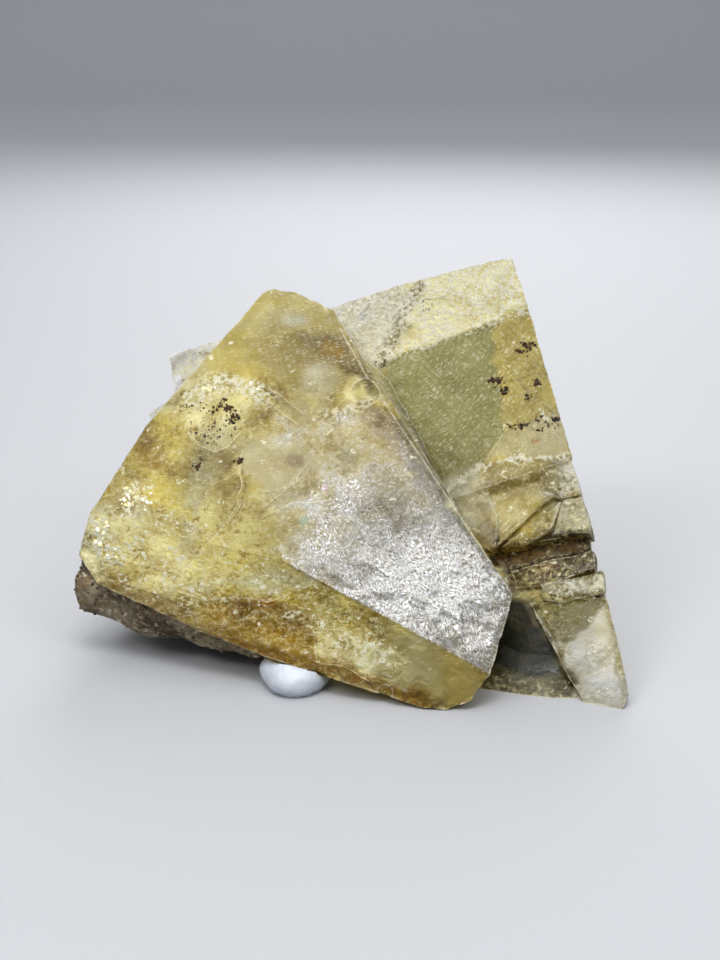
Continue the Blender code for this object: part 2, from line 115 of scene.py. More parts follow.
class StoneNoise:
    """Seeded lattice noise over arrays of points, the same on every run."""

    AXIS_PRIMES = (374761393, 668265263, 2147483629)
    SEED_PRIME = 974634777
    MIXING = ((13, 1274126177), (16, 2246822519))  # a shift and a factor for each round of mixing
    LAST_SHIFT = 15
    WORD = 0xFFFFFFFF
    LARGEST = 0xFFFFFF

    @classmethod
    def _hashed(cls, cell: np.ndarray, seed: int) -> np.ndarray:
        """A number from 0 to 1 for each lattice cell."""
        cell = cell.astype(np.int64)
        mixed = sum(cell[..., axis] * prime for axis, prime in enumerate(cls.AXIS_PRIMES)) + seed * cls.SEED_PRIME
        mixed &= cls.WORD
        for shift, factor in cls.MIXING:
            mixed = ((mixed ^ (mixed >> shift)) * factor) & cls.WORD
        return ((mixed ^ (mixed >> cls.LAST_SHIFT)) & cls.LARGEST) / float(cls.LARGEST)

    @classmethod
    def smooth(cls, points: np.ndarray, size: float, seed: int = 0) -> np.ndarray:
        """Smooth noise from -1 to 1.

        Args:
            points: places, in millimetres.
            size: the lattice's cell, in millimetres.
            seed: which noise.

        Returns:
            One value for each point.
        """
        place = points / size
        cell = np.floor(place)
        inside = place - cell
        ease = inside * inside * inside * (inside * (inside * 6.0 - 15.0) + 10.0)
        total = np.zeros(len(points))
        for corner in range(8):
            step = np.array([(corner >> axis) & 1 for axis in range(3)])
            share = np.prod(np.where(step, ease, 1.0 - ease), axis=1)
            total += share * cls._hashed(cell + step, seed)
        return total * 2.0 - 1.0

    @classmethod
    def fractal(cls, points: np.ndarray, size: float, layers: int = 4, gain: float = 0.5, seed: int = 0) -> np.ndarray:
        """Layers of ever finer smooth noise, from about -1 to 1."""
        total, share, weight = np.zeros(len(points)), 1.0, 0.0
        for layer in range(layers):
            total += share * cls.smooth(points, size / 2.03**layer, seed + layer * 17)
            weight += share
            share *= gain
        return total / weight * 1.4

    @classmethod
    def ridged(cls, points: np.ndarray, size: float, layers: int = 3, seed: int = 0) -> np.ndarray:
        """Noise gathered into sharp crests, from 0 to 1."""
        total, share, weight = np.zeros(len(points)), 1.0, 0.0
        for layer in range(layers):
            total += share * (1.0 - np.abs(cls.smooth(points, size / 2.1**layer, seed + layer * 31))) ** 2
            weight += share
            share *= 0.5
        return total / weight

    @classmethod
    def cells(cls, points: np.ndarray, size: float, seed: int = 0) -> tuple[np.ndarray, np.ndarray, np.ndarray]:
        """Scattered seeds' cells.

        Args:
            points: places, in millimetres.
            size: the mean distance between seeds.
            seed: which scatter.

        Returns:
            The distance to the nearest seed, that to the next one less it, and the nearest cell's own number.
        """
        place = points / size
        base = np.floor(place)
        first = np.full(len(points), 9.0)
        second = np.full(len(points), 9.0)
        number = np.zeros(len(points))
        for step in np.ndindex(3, 3, 3):
            cell = base + np.array(step) - 1.0
            spot = cell + np.stack([cls._hashed(cell, seed + axis) for axis in range(3)], axis=1)
            distance = np.linalg.norm(place - spot, axis=1)
            closer = distance < first
            second = np.where(closer, first, np.minimum(second, distance))
            number = np.where(closer, cls._hashed(cell, seed + 7), number)
            first = np.where(closer, distance, first)
        return first * size, (second - first) * size, number


def eased(value: np.ndarray, low: float, high: float) -> np.ndarray:
    """0 below low, 1 above high, and a smooth step between them. A low over high turns it round."""
    share = np.clip((value - low) / (high - low), 0.0, 1.0)
    return share * share * (3.0 - 2.0 * share)


def line_distance(places: np.ndarray, line: Outline, closed: bool = False) -> np.ndarray:
    """How far each flat place lies from a line through corners."""
    corners = np.array(line, float)
    ends = np.roll(corners, -1, axis=0) if closed else corners[1:]
    starts = corners if closed else corners[:-1]
    nearest = np.full(len(places), np.inf)
    for start, end in zip(starts, ends):
        along = end - start
        share = np.clip(((places - start) @ along) / (along @ along), 0.0, 1.0)
        nearest = np.minimum(nearest, np.linalg.norm(places - start - share[:, None] * along, axis=1))
    return nearest


def inside_outline(places: np.ndarray, outline: Outline) -> np.ndarray:
    """True for each flat place inside an outline."""
    corners = np.array(outline, float)
    found = np.zeros(len(places), bool)
    for start, end in zip(corners, np.roll(corners, -1, axis=0)):
        spans = (start[1] > places[:, 1]) != (end[1] > places[:, 1])
        if not spans.any():
            continue
        rise = end[1] - start[1]
        crossing = start[0] + (places[:, 1] - start[1]) * (end[0] - start[0]) / (rise if rise else 1.0)
        found ^= spans & (places[:, 0] < crossing)
    return found


def outline_depth(places: np.ndarray, outline: Outline) -> np.ndarray:
    """How deep inside an outline each flat place lies. It is below zero outside."""
    distance = line_distance(places, outline, closed=True)
    return np.where(inside_outline(places, outline), distance, -distance)


# ---------------------------------------------------------------- an even mesh over the faceted solid
@dataclass
class EvenSkin:
    """A faceted solid's surface cut into even triangles that keep its creases.

    Args:
        fine: the triangles' side on what faces the front, in millimetres.
        coarse: their side elsewhere.
        flat_angle: faces nearer in angle than this, in degrees, are one face.
        crease_angle: an edge that turns by more than this, in degrees, stays a crease.
        toward_front: the way that counts as the front.
        welding: corners closer than this, in millimetres, are one.
        rim_gap: how near the rim an inner point may lie, as a share of the side.
        crease_reach: creases farther off than this, in millimetres, count as this far.
    """

    fine: float = 0.42
    coarse: float = 0.8
    flat_angle: float = 0.4
    crease_angle: float = 14.0
    toward_front: tuple[float, float, float] = (0.0, -0.94, 0.34)
    welding: float = 2e-4
    rim_gap: float = 0.5
    crease_reach: float = 5.0
    points: list[tuple[float, float, float]] = field(default_factory=list)
    triangles: list[tuple[int, int, int]] = field(default_factory=list)
    creases: dict[tuple[int, int], float] = field(default_factory=dict)
    plane_normals: list[tuple[float, float, float]] = field(default_factory=list)
    facet_areas: list[float] = field(default_factory=list)

    def step_on(self, normal: Vector) -> float:
        """The triangles' side on a face that points this way."""
        return self.fine if normal.dot(Vector(self.toward_front)) > LEAST_FRONT_SHARE else self.coarse

    def split_edges(self, shape: bmesh.types.BMesh, steps: list[float]) -> list[list[int]]:
        """Divides every edge evenly.

        Args:
            shape: the faceted solid, in millimetres.
            steps: each face's triangle side.

        Returns:
            For each edge, the numbers of the points along it.
        """
        chains = []
        for edge in shape.edges:
            first, last = edge.verts
            step = min(steps[face.index] for face in edge.link_faces)
            parts = max(1, math.ceil(edge.calc_length() / step - 0.25))
            chain = [first.index]
            for part in range(1, parts):
                self.points.append(tuple(first.co.lerp(last.co, part / parts)))
                chain.append(len(self.points) - 1)
            chain.append(last.index)
            chains.append(chain)
            angle = math.degrees(edge.calc_face_angle_signed(0.0))
            if abs(angle) > self.crease_angle:
                for pair in zip(chain, chain[1:]):
                    self.creases[tuple(sorted(pair))] = angle
        return chains

    def fill_face(self, rim: list[int], normal: Vector, step: float, area: float) -> None:
        """Covers one flat face with even triangles that meet its rim's points."""
        side = normal.orthogonal().normalized()
        frame = np.array((side, normal.cross(side)))
        solid_rim = np.array([self.points[index] for index in rim])
        flat_rim = solid_rim @ frame.T
        low, high = flat_rim.min(axis=0), flat_rim.max(axis=0)
        inner = np.empty((0, 2))
        if (high - low).min() > step:
            rows = np.arange(low[1] + step / 2, high[1], step * math.sqrt(0.75))
            columns = np.arange(low[0] + step / 4, high[0], step)
            grid = np.array([(x + (row % 2) * step / 2, y) for row, y in enumerate(rows) for x in columns])
            if len(grid):
                grid = grid[inside_outline(grid, flat_rim)]
            if len(grid):
                inner = grid[line_distance(grid, flat_rim, closed=True) > step * self.rim_gap]
        offset = float(solid_rim[0] @ np.array(normal))
        numbers = list(rim)
        for place in inner:
            self.points.append(tuple(place @ frame + np.array(normal) * offset))
            numbers.append(len(self.points) - 1)
        places = [Vector(place) for place in (*flat_rim, *inner)]
        made = geometry.delaunay_2d_cdt(places, [], [list(range(len(rim)))], 1, 1e-7)
        origins = [numbers[source[0]] if source else None for source in made[3]]
        for face in made[2]:
            corners = [origins[index] for index in face]
            if None not in corners and len(set(corners)) == 3:
                self.triangles.append(tuple(corners))
                self.plane_normals.append(tuple(normal))
                self.facet_areas.append(area)

    def cut(self, source: bpy.types.Mesh) -> None:
        """Reads a closed mesh of loose triangles, in metres, and cuts its surface evenly."""
        shape = bmesh.new()
        shape.from_mesh(source)
        bmesh.ops.scale(shape, vec=(1 / MM,) * 3, verts=shape.verts)
        bmesh.ops.remove_doubles(shape, verts=shape.verts, dist=self.welding)
        bmesh.ops.dissolve_limit(
            shape, angle_limit=math.radians(self.flat_angle), verts=shape.verts, edges=shape.edges
        )
        shape.normal_update()
        for items in (shape.verts, shape.edges, shape.faces):
            items.index_update()
        self.points = [tuple(vertex.co) for vertex in shape.verts]
        steps = [self.step_on(face.normal) for face in shape.faces]
        chains = self.split_edges(shape, steps)
        for face in shape.faces:
            rim = []
            for corner in face.loops:
                chain = chains[corner.edge.index]
                rim += chain[:-1] if chain[0] == corner.vert.index else chain[:0:-1]
            self.fill_face(rim, face.normal, steps[face.index], face.calc_area())
        shape.free()

    def point_means(self, values: np.ndarray) -> np.ndarray:
        """The mean, at each point, of what the triangles round it hold."""
        triangles, count = np.array(self.triangles), len(self.points)
        total, share = np.zeros((count, *values.shape[1:])), np.zeros(count)
        for corner in range(3):
            np.add.at(total, triangles[:, corner], values)
            np.add.at(share, triangles[:, corner], 1.0)
        return total / np.maximum(share, 1.0).reshape(-1, *([1] * (values.ndim - 1)))

    def facing(self, points: np.ndarray) -> np.ndarray:
        """The mean way that the triangles round each point face."""
        corners = points[np.array(self.triangles)]
        normals = self.point_means(np.cross(corners[:, 1] - corners[:, 0], corners[:, 2] - corners[:, 0]))
        return normals / np.maximum(np.linalg.norm(normals, axis=1), 1e-12)[:, None]

    def smoothed(self, points: np.ndarray, share: float | np.ndarray, rounds: int) -> np.ndarray:
        """The points after some rounds of moving a share of the way to the middle of those round them."""
        triangles = np.array(self.triangles)
        for _ in range(rounds):
            points = points + share * (self.point_means(points[triangles].mean(axis=1)) - points)
        return points

    def crease_distance(self, points: np.ndarray, outer: bool, least: float) -> np.ndarray:
        """How far each point lies from the nearest edge that turns outwards or inwards by at least an angle."""
        turn = 1.0 if outer else -1.0
        chosen = sorted({index for pair, angle in self.creases.items() if angle * turn > least for index in pair})
        tree = kdtree.KDTree(len(chosen))
        for number, index in enumerate(chosen):
            tree.insert(points[index], number)
        tree.balance()
        return np.array([min(tree.find(point)[2], self.crease_reach) for point in points])

    def mesh(self, name: str, points: np.ndarray, fields: dict[str, np.ndarray]) -> bpy.types.Mesh:
        """A mesh from moved points.

        Args:
            name: its name.
            points: the points, in millimetres.
            fields: values for each point, by attribute name.

        Returns:
            The mesh, smooth between its creases.
        """
        mesh = bpy.data.meshes.new(name)
        mesh.from_pydata((points * MM).tolist(), [], self.triangles)
        for title, values in fields.items():
            kind, key = ("FLOAT_VECTOR", "vector") if values.ndim == 2 else ("FLOAT", "value")
            mesh.attributes.new(title, kind, "POINT").data.foreach_set(key, values.astype(np.float32).ravel())
        pairs = np.empty(len(mesh.edges) * 2, np.int32)
        mesh.edges.foreach_get("vertices", pairs)
        sharp = [tuple(sorted(pair)) in self.creases for pair in pairs.reshape(-1, 2).tolist()]
        mesh.attributes.new("sharp_edge", "BOOLEAN", "EDGE").data.foreach_set("value", sharp)
        return mesh


# ---------------------------------------------------------------- what grows where on the surface
class Tint(Enum):
    """The stone's own colours, and two that are painted shade: a dark grey for a shaded flank and edge, and a near
    black green for a hollow.
    """

    HONEY = (0.51, 0.425, 0.12)
    GOLD = (0.53, 0.42, 0.075)
    AMBER = (0.33, 0.20, 0.006)
    STRAW = (0.88, 0.80, 0.40)
    CREAM = (0.97, 0.90, 0.50)
    PALE = (0.465, 0.41, 0.20)
    MILK = (0.74, 0.73, 0.60)
    SMOKE = (0.25, 0.175, 0.055)
    OLIVE = (0.20, 0.165, 0.03)
    GREEN = (0.315, 0.31, 0.125)
    SILVER = (0.80, 0.80, 0.76)
    # near black green: painted shade in the hollow and in a crevice between the steps
    HOLLOW_SHADE = (0.008, 0.013, 0.002)
    MOSS = (0.090, 0.085, 0.042)
    UMBER = (0.125, 0.088, 0.045)
    GREY = (0.44, 0.415, 0.26)
    BROWN = (0.13, 0.085, 0.018)
    FROST = (0.92, 0.94, 0.97)
    # dark grey: painted shade on the front crystal's right side and edge, and on a dull part of the etched facet
    STEEL_SHADE = (0.14, 0.13, 0.105)
    RUST = (0.36, 0.15, 0.015)
    TEAL = (0.42, 0.72, 0.60)
    ROSE = (0.80, 0.45, 0.52)


@dataclass(frozen=True)
class Patch:
    """A zone of one colour, outlined on a crystal face.

    Args:
        face: the face that it is measured on.
        outline: its corners, right and up, in millimetres.
        tint: its colour.
        strength: how much of the colour it takes.
        soft: how wide its border is.
        warp: how far its border wanders.
    """

    face: CrystalFace
    outline: Outline
    tint: Tint
    strength: float = 1.0
    soft: float = 1.5
    warp: float = 0.8


@dataclass(frozen=True)
class Vein:
    """A crack or an inner edge that shows as a line on a crystal face."""

    face: CrystalFace
    line: Outline
    dark: bool = False


def path(*numbers: float) -> Outline:
    """Corners from each one's right and up in turn."""
    return tuple(zip(numbers[::2], numbers[1::2]))


def blot(right: float, up: float, wide: float, tall: float, turn: float = 0.0) -> Outline:
    """An oval outline given by its centre, its two radii and its turn in degrees."""
    angles = np.linspace(0.0, 2.0 * math.pi, 14, endpoint=False)
    lean = math.radians(turn)
    flat = np.stack([wide * np.cos(angles), tall * np.sin(angles)], axis=1)
    spin = np.array(((math.cos(lean), math.sin(lean)), (-math.sin(lean), math.cos(lean))))
    return [tuple(place) for place in flat @ spin + np.array((right, up))]


SILVER_FACET = path(
    -29, 17, -24.5, 23.5, -18.5, 29.6, -12, 31.5, -7.3, 29.5, -1, 18.5, 4, 11, 0.3, -0.3, -12.5, 7.3, -27.5, 15.8,
)
HAZE = path(-30.5, 39.5, -25, 38, -16, 40, -9, 33, -5, 26.5, -12, 27, -19, 26, -27, 20, -30, 25, -24, 31, -29, 35)
CREASE = path(-41, 41.5, -38, 43.8, -34.5, 43, -31, 41.2)
CREASE_RIGHT = path(-22.5, 38.5, -19.9, 38.6, -15.5, 41)
FRONT_CRACK = path(-33.5, 32, -33.9, 29.7, -33.8, 27.1, -34.3, 24.7, -35.6, 22.2, -37.2, 20, -39.1, 17.9, -40.7, 16.1)
BAND = path(-66, 50, -58, 40, -49.5, 38.5, -43, 45.5, -33.1, 50.3, -27.4, 53.2, -21.5, 56.6, -20, 66, -46, 62)
SILVER_BAND = path(-64, 48, -56, 38, -47, 40, -41.5, 46.5, -39, 53, -44, 60)
STREAK = path(-40.2, 58.6, -38.3, 59.2, -39.6, 54.8, -41.2, 50.5, -42.2, 45, -44.4, 43.5, -44.2, 47.2, -42.6, 52.2)
LOWER_STEPS = path(-33, 30, -14, 34.5, -6, 24, -4, 15, -10, 12.5, -24, 14)
DARK_HOLLOW = path(-22, 14.6, -15.4, 13.2, -10.5, 7.6, -8, 3.5, -13, 2.2, -22, 2)
FOOT = path(-14, 7.5, 0, -0.6, 0, -6, -9, -4.5, -11, 0.5)
GREEN_SQUARE = path(-42.5, 45.5, -33.1, 50.4, -27.4, 53.2, -24.8, 44.5, -22.6, 36.7, -25.4, 30.6, -28.5, 24, -40, 34)
HONEY_EDGE = path(-27.4, 53.2, -22, 56.2, -15.6, 41, -19.5, 38.8, -22.6, 36.9, -24.8, 44.5)
PALE_EDGE = path(-22.6, 36.9, -19.5, 39, -15, 40, -12.5, 33.6, -19.6, 32.7, -25.4, 31.4)
TRIANGLE_SHADOW = path(-35.5, 33.5, -30.5, 32.8, -25.9, 30.7, -28.5, 25.7, -36, 27)
HEM = path(-54, 13.6, -46, 10, -33, 4.6, -20, 0.6, -8, -3.8)
RIDGE_LINE = path(-25.6, 31, -19.6, 32.6, -16, 33.2, -12.3, 33.8)
GREEN_RIDGE = path(-30, 26, -27.4, 28.6, -25.4, 30.6)
FAR_CUBES = path(-80, 34, -64.5, 36, -64, 50, -78, 50)
GREY_OVAL = path(-33.5, 34, -25.5, 35.5, -23, 30, -27.5, 26.5, -33, 27.5)

PATCHES = (
    # the front crystal's crown
    Patch(FRONT, path(-40, 45, -31, 45.5, -25.5, 41.5, -13, 42, -18, 62, -34, 63), Tint.HONEY, 0.8, 3.0),
    Patch(FRONT, path(-36, 53, -30, 58, -25, 56, -29, 50), Tint.GREY, 0.35, 3.0, 1.6),
    Patch(FRONT, path(-27, 50.5, -20, 52.5, -15.5, 49, -14.5, 43, -19.5, 42.5, -21, 46), Tint.BROWN, 0.85, 3.0, 1.6),
    Patch(FRONT, path(-33, 50, -24, 50.5, -21, 46.5, -30, 45), Tint.SMOKE, 0.45, 3.0, 1.6),
    Patch(FRONT, blot(-21.2, 49.2, 2.2, 1.2, -10.0), Tint.AMBER, 0.9, 1.8),
    Patch(FRONT, blot(-23.2, 43.9, 2.7, 2.9), Tint.MILK, 0.55, 2.4),
    Patch(FRONT, blot(-27.4, 54.3, 2.0, 1.3), Tint.MILK, 0.7, 1.8),
    Patch(FRONT, blot(-17.7, 42.4, 1.6, 2.2, 20.0), Tint.STRAW, 0.9, 0.6, 0.3),
    # its upper left
    Patch(FRONT, path(-47, 38, -40, 43.5, -33, 44, -31, 40, -36, 38, -42, 36.5), Tint.STRAW, 0.75, 2.0, 1.2),
    Patch(FRONT, blot(-37.6, 36.0, 4.6, 3.4, -12.0), Tint.STRAW, 0.4, 1.6),
    Patch(FRONT, path(-31, 41, -25, 38.5, -26.5, 35.5, -31.5, 37.5), Tint.GOLD, 0.6, 1.4, 0.6),
    Patch(FRONT, GREY_OVAL, Tint.PALE, 0.8, 2.0),
    Patch(FRONT, path(-41, 31, -34, 31.5, -34, 24.5, -38, 20.5, -42, 25), Tint.PALE, 0.55, 2.5),
    Patch(FRONT, path(-51, 33, -44, 40, -41.5, 36, -42.5, 29, -40, 23.5, -44.5, 23.5, -48.5, 29),
          Tint.GOLD, 1.0, 2.6, 1.6),
    Patch(FRONT, blot(-46.6, 32.0, 1.9, 3.4, 30.0), Tint.AMBER, 0.85, 2.0, 1.2),
    Patch(FRONT, blot(-26.9, 30.9, 1.9, 1.1, -25.0), Tint.SMOKE, 0.75, 1.0),
    Patch(FRONT, path(-38.5, 27, -33.5, 28, -29, 24.5, -28.5, 19, -31, 14.5, -41, 14.5), Tint.HONEY, 0.85, 2.5, 1.4),
    Patch(FRONT, path(-56, 24, -47, 24, -40, 16.5, -44, 13, -54, 15), Tint.STRAW, 0.6, 2.5, 2.0),
    Patch(FRONT, path(-16.5, 40.5, -13, 39.5, -4.5, 26, -8, 25.5, -14, 34, -17.5, 37.5), Tint.SMOKE, 0.75, 1.6),
    # its front edge
    Patch(FRONT, path(-53, 15.5, -41, 12, -30, 11, -28, 5, -42, 8, -53, 11.5), Tint.SMOKE, 0.5, 2.2, 1.6),
    Patch(FRONT, path(-39, 11, -29, 10.5, -23.8, 8.5, -23, 3, -34, 4), Tint.AMBER, 0.95, 2.5, 1.5),
    Patch(FRONT, path(-24, 12.5, -18, 10, -19, 7, -24, 7.5), Tint.GOLD, 0.6, 1.5),
    Patch(FRONT, path(-23.4, 6.8, -19, 6.5, -16, 5.5, -9.5, 1.5, -14, -1, -22.8, 3.2), Tint.STRAW, 0.6, 1.2),
    Patch(FRONT, FOOT, Tint.PALE, 0.6, 2.5),
    Patch(FRONT, path(-36, 14, -28, 15, -24, 12.5, -30, 11.5), Tint.GREY, 0.5, 1.4),
    Patch(FRONT, blot(-29.8, 10.2, 1.2, 0.7), Tint.RUST, 0.8, 0.9),
    Patch(FRONT, path(-32, 4.5, -20, 1.5, -8, -4.2, -8, -2.6, -20, 3, -31, 6.2), Tint.AMBER, 0.8, 1.2, 1.0),
    # painted shade along the front face's right edge and on a dull part of the etched facet
    Patch(FRONT, path(-12.8, 36.5, -10.2, 38, -5, 29, -2.5, 22, -5.5, 22.5, -8.8, 29), Tint.STEEL_SHADE, 0.75, 1.6, 1.4),
    Patch(FRONT, path(-17.5, 44.5, -13, 39.6, -4, 26, 0.5, 19, 3, 20, -2, 28.5, -10, 42, -15, 46.5),
          Tint.STEEL_SHADE, 0.3, 0.8, 0.5),
    Patch(FRONT, path(-21, 24.5, -12, 26, -6, 20, -12, 17, -19, 20), Tint.STEEL_SHADE, 0.5, 4.0, 2.0),
    Patch(FRONT, blot(-21.9, 26.9, 0.4, 0.7, 10.0), Tint.ROSE, 0.7, 0.5, 0.1),
    Patch(FRONT, blot(-24.9, 21.9, 0.9, 0.6, 40.0), Tint.TEAL, 0.6, 0.7, 0.2),
    # the right crystal
    Patch(RIGHT, BAND, Tint.CREAM, 1.0, 1.0, 0.5),
    Patch(RIGHT, blot(-31.0, 56.5, 4.0, 1.3, 25.0), Tint.STRAW, 0.6, 1.5, 1.0),
    Patch(RIGHT, path(-64, 49, -56, 38, -48, 39, -42, 46, -41, 56, -46, 60), Tint.SILVER, 0.75, 3.0),
    Patch(RIGHT, STREAK, Tint.BROWN, 0.75, 1.2, 0.9),
    Patch(RIGHT, GREEN_SQUARE, Tint.GREEN, 1.0, 0.7, 0.3),
    Patch(RIGHT, HONEY_EDGE, Tint.HONEY, 0.85, 1.6),
    Patch(RIGHT, PALE_EDGE, Tint.PALE, 0.9, 0.7),
    # a painted shadow: a darker olive triangle on the green square
    Patch(RIGHT, TRIANGLE_SHADOW, Tint.OLIVE, 0.38, 0.35, 0.1),
    Patch(RIGHT, blot(-17.9, 35.6, 0.6, 0.35, 10.0), Tint.RUST, 0.9, 0.4, 0.1),
    Patch(RIGHT, path(-24.6, 30.9, -15.8, 32.6, -14.6, 28, -19.5, 26.2, -24, 27.6), Tint.SMOKE, 0.75, 1.6),
    Patch(RIGHT, path(-24, 27, -14.5, 27.8, -20.8, 19.4, -23, 22), Tint.HONEY, 0.6, 2.0),
    Patch(RIGHT, path(-24.5, 31, -13.5, 32.5, -13, 27, -20.7, 19.4, -24, 22), Tint.GREY, 0.32, 1.6),
    Patch(RIGHT, path(-31, 27.5, -25.6, 30.6, -22, 25, -20.7, 19.2, -26, 18), Tint.MILK, 0.55, 1.6),
    Patch(RIGHT, path(-14.2, 32.6, -11.6, 33.4, -9.6, 29.4, -13.2, 28.2), Tint.MILK, 0.85, 0.8, 0.5),
    Patch(RIGHT, blot(-22.6, 21.5, 1.5, 1.7), Tint.SMOKE, 0.75, 1.2),
    Patch(RIGHT, path(-20.8, 19.3, -13, 27.6, -13.4, 22.6, -17, 20), Tint.SMOKE, 0.45, 0.5, 0.2),
    Patch(RIGHT, blot(-16.5, 22.5, 1.2, 0.8, 30.0), Tint.GOLD, 0.8, 0.8),
    Patch(RIGHT, path(-13.2, 27.6, -9.6, 29.2, -7.4, 23.3, -13.6, 22.2), Tint.MILK, 0.6, 0.5, 0.2),
    Patch(RIGHT, path(-20.6, 19.4, -13.9, 21.6, -7, 24, -6, 18.8, -9.7, 16.6, -18, 13.6), Tint.UMBER, 0.95, 0.8, 0.5),
    Patch(RIGHT, blot(-14.0, 18.0, 1.4, 1.0), Tint.RUST, 0.6, 1.0),
    Patch(RIGHT, path(-13.9, 15, -5.4, 18.4, -4.4, 15.3, -11, 12.9), Tint.MILK, 0.7, 0.5, 0.3),
    # painted shade in the dark hollow
    Patch(RIGHT, DARK_HOLLOW, Tint.HOLLOW_SHADE, 0.98, 1.8, 0.8),
    Patch(RIGHT, path(-22, 2, -13, 2.6, -8, 4, -5.2, -0.2, -10, -4, -22, -4), Tint.MOSS, 0.9, 1.6, 1.0),
    Patch(RIGHT, blot(-11.5, 0.2, 3.6, 1.9, -25.0), Tint.GREY, 0.22, 1.4, 1.0),
    Patch(RIGHT, path(-15, 12.8, -4.6, 15.2, -7.8, 9.8, -11, 8), Tint.OLIVE, 0.5, 1.0, 0.5),
    Patch(RIGHT, path(-11, 10, -7.8, 10.8, -5, 14.6, 0.6, 2, -1, -1, -5.6, 0, -9.4, 6.5), Tint.SILVER, 0.7, 1.4, 0.8),
    Patch(RIGHT, path(-12.6, 14.2, -4.9, 15.6, -4.2, 13.8, -5.8, 10.9, -7.5, 8.6, -9.3, 7.2, -11.7, 11.1),
          Tint.OLIVE, 0.92, 0.6, 0.6),
    Patch(RIGHT, path(-5, 14.6, -3.2, 13.5, 1, 1.5, -0.3, 1.5), Tint.OLIVE, 0.45, 0.8, 0.4),
    # painted shade in a crevice between the steps
    Patch(RIGHT, path(-22.5, 19.2, -19.2, 20.4, -13.9, 22.1, -8, 24.4, -8, 23.2, -14, 20.6, -19, 18.2, -22.5, 16.4),
          Tint.HOLLOW_SHADE, 0.9, 0.5, 0.4),
    Patch(RIGHT, path(-80, 34, -66, 36, -64, 48, -78, 50), Tint.FROST, 0.95, 2.0),
)

VEINS = tuple(
    Vein(face, line, dark)
    for face, dark, lines in (
        (FRONT, False, (
            FRONT_CRACK,
            path(-30.3, 42.4, -27.8, 40.7, -25.2, 38.6),
            path(-31.1, 40.9, -28.5, 38.8, -26.2, 36.9),
            path(-41.5, 35.9, -40, 33.9, -37.8, 32.8, -35.7, 33.4, -34.1, 35.3),
            path(-30.7, 26.3, -28.2, 26.9, -25.9, 28.4, -24.7, 30.3),
            path(-41.8, 12.8, -38.2, 11.4, -34.5, 11.6, -32, 11.2, -29.3, 10.7, -27.2, 11.4, -25.2, 12.1, -23.6, 12.7),
            path(-22.9, 3.4, -23.5, 6.9, -19.1, 6.6, -16.8, 3.3),
            path(-16.4, 6.2, -15.8, 3.9, -12.6, 3.4),
            path(-23.1, 2.7, -19.5, 2.1, -15.8, 0.1),
            path(-30.6, 22.5, -26.5, 24.6, -21.3, 25),
            path(-30.2, 24.3, -27.5, 26.8, -25.5, 28.1),
            path(-54, 21, -49, 17, -43, 15.5, -38, 15.8),
        )),
        (RIGHT, False, (
            path(-22.5, 38, -24.3, 32),
        )),
        # dark lines: crevices, and painted shadow lines beside bright cracks
        (FRONT, True, (
            path(-33.2, 31.6, -33.5, 28.5, -33.2, 26.2, -33.9, 23.9, -35.2, 21.6),
            path(-41.8, 12.1, -38.2, 10.7, -34.5, 10.9, -32, 10.4, -29.3, 9.9, -26, 10.8),
            path(-53.5, 16.2, -49.8, 14.2, -45.8, 12.9, -42, 11),
        )),
        (RIGHT, True, (
            path(-21.8, 19.8, -19.3, 22.7, -14.2, 27.6, -11.1, 29.8),
            path(-22, 18, -19.2, 19.2, -13.9, 21.2, -11.2, 22.1, -8.2, 23.3),
            path(-21.9, 17.8, -19.2, 18.9, -13.9, 20.9, -11.2, 21.8, -8.2, 23),
            path(-25.1, 44, -22.5, 44.2, -19.8, 45.6),
            path(-22.5, 44.8, -19.2, 41.8, -16.5, 40.4),
            path(-24.5, 37.2, -21.6, 37.3, -19.2, 38.4),
        )),
    )
    for line in lines
)

# ragged ovals: the face, a strength, then right, up, two radii and a turn
MINERAL_SPOTS = (
    (FRONT, 1.0, -36.4, 39.9, 1.3, 0.55, -35.0), (FRONT, 1.0, -34.9, 37.6, 0.9, 0.8, -40.0),
    (FRONT, 1.0, -40.0, 30.7, 0.9, 0.6, 30.0), (FRONT, 1.0, -33.9, 30.8, 0.6, 0.7), (FRONT, 1.0, -38.2, 39.4, 0.5, 0.4),
    (RIGHT, 1.0, -25.1, 44.1, 1.2, 0.6, 10.0), (RIGHT, 1.0, -23.8, 42.6, 0.7, 0.45, -30.0),
    (RIGHT, 1.0, -20.6, 42.0, 0.5, 0.4), (RIGHT, 1.0, -21.2, 49.9, 0.9, 0.4, 30.0),
    (RIGHT, 1.0, -22.5, 48.8, 0.6, 0.35),
    (RIGHT, 1.0, -19.1, 44.2, 0.4, 0.6), (RIGHT, 1.0, -21.3, 37.6, 0.9, 0.35, 5.0),
    (RIGHT, 1.0, -15.7, 39.3, 0.5, 0.35),
    (RIGHT, 1.0, -17.6, 37.4, 0.6, 0.25, 15.0),
)
PLATE_SPOTS = (
    (FRONT, 1.0, -49.6, 26.4, 1.7, 1.3, 20.0), (FRONT, 1.0, -46.6, 25.6, 1.2, 1.5, -20.0),
    (FRONT, 1.0, -53.2, 21.6, 0.8, 1.9, -25.0), (FRONT, 1.0, -51.4, 18.4, 1.4, 1.0),
    (FRONT, 1.0, -31.9, 42.8, 1.7, 0.5, -20.0), (FRONT, 1.0, -38.6, 43.0, 1.3, 0.5, 10.0),
    (RIGHT, 1.0, -14.0, 33.4, 1.0, 0.3, 5.0),
)
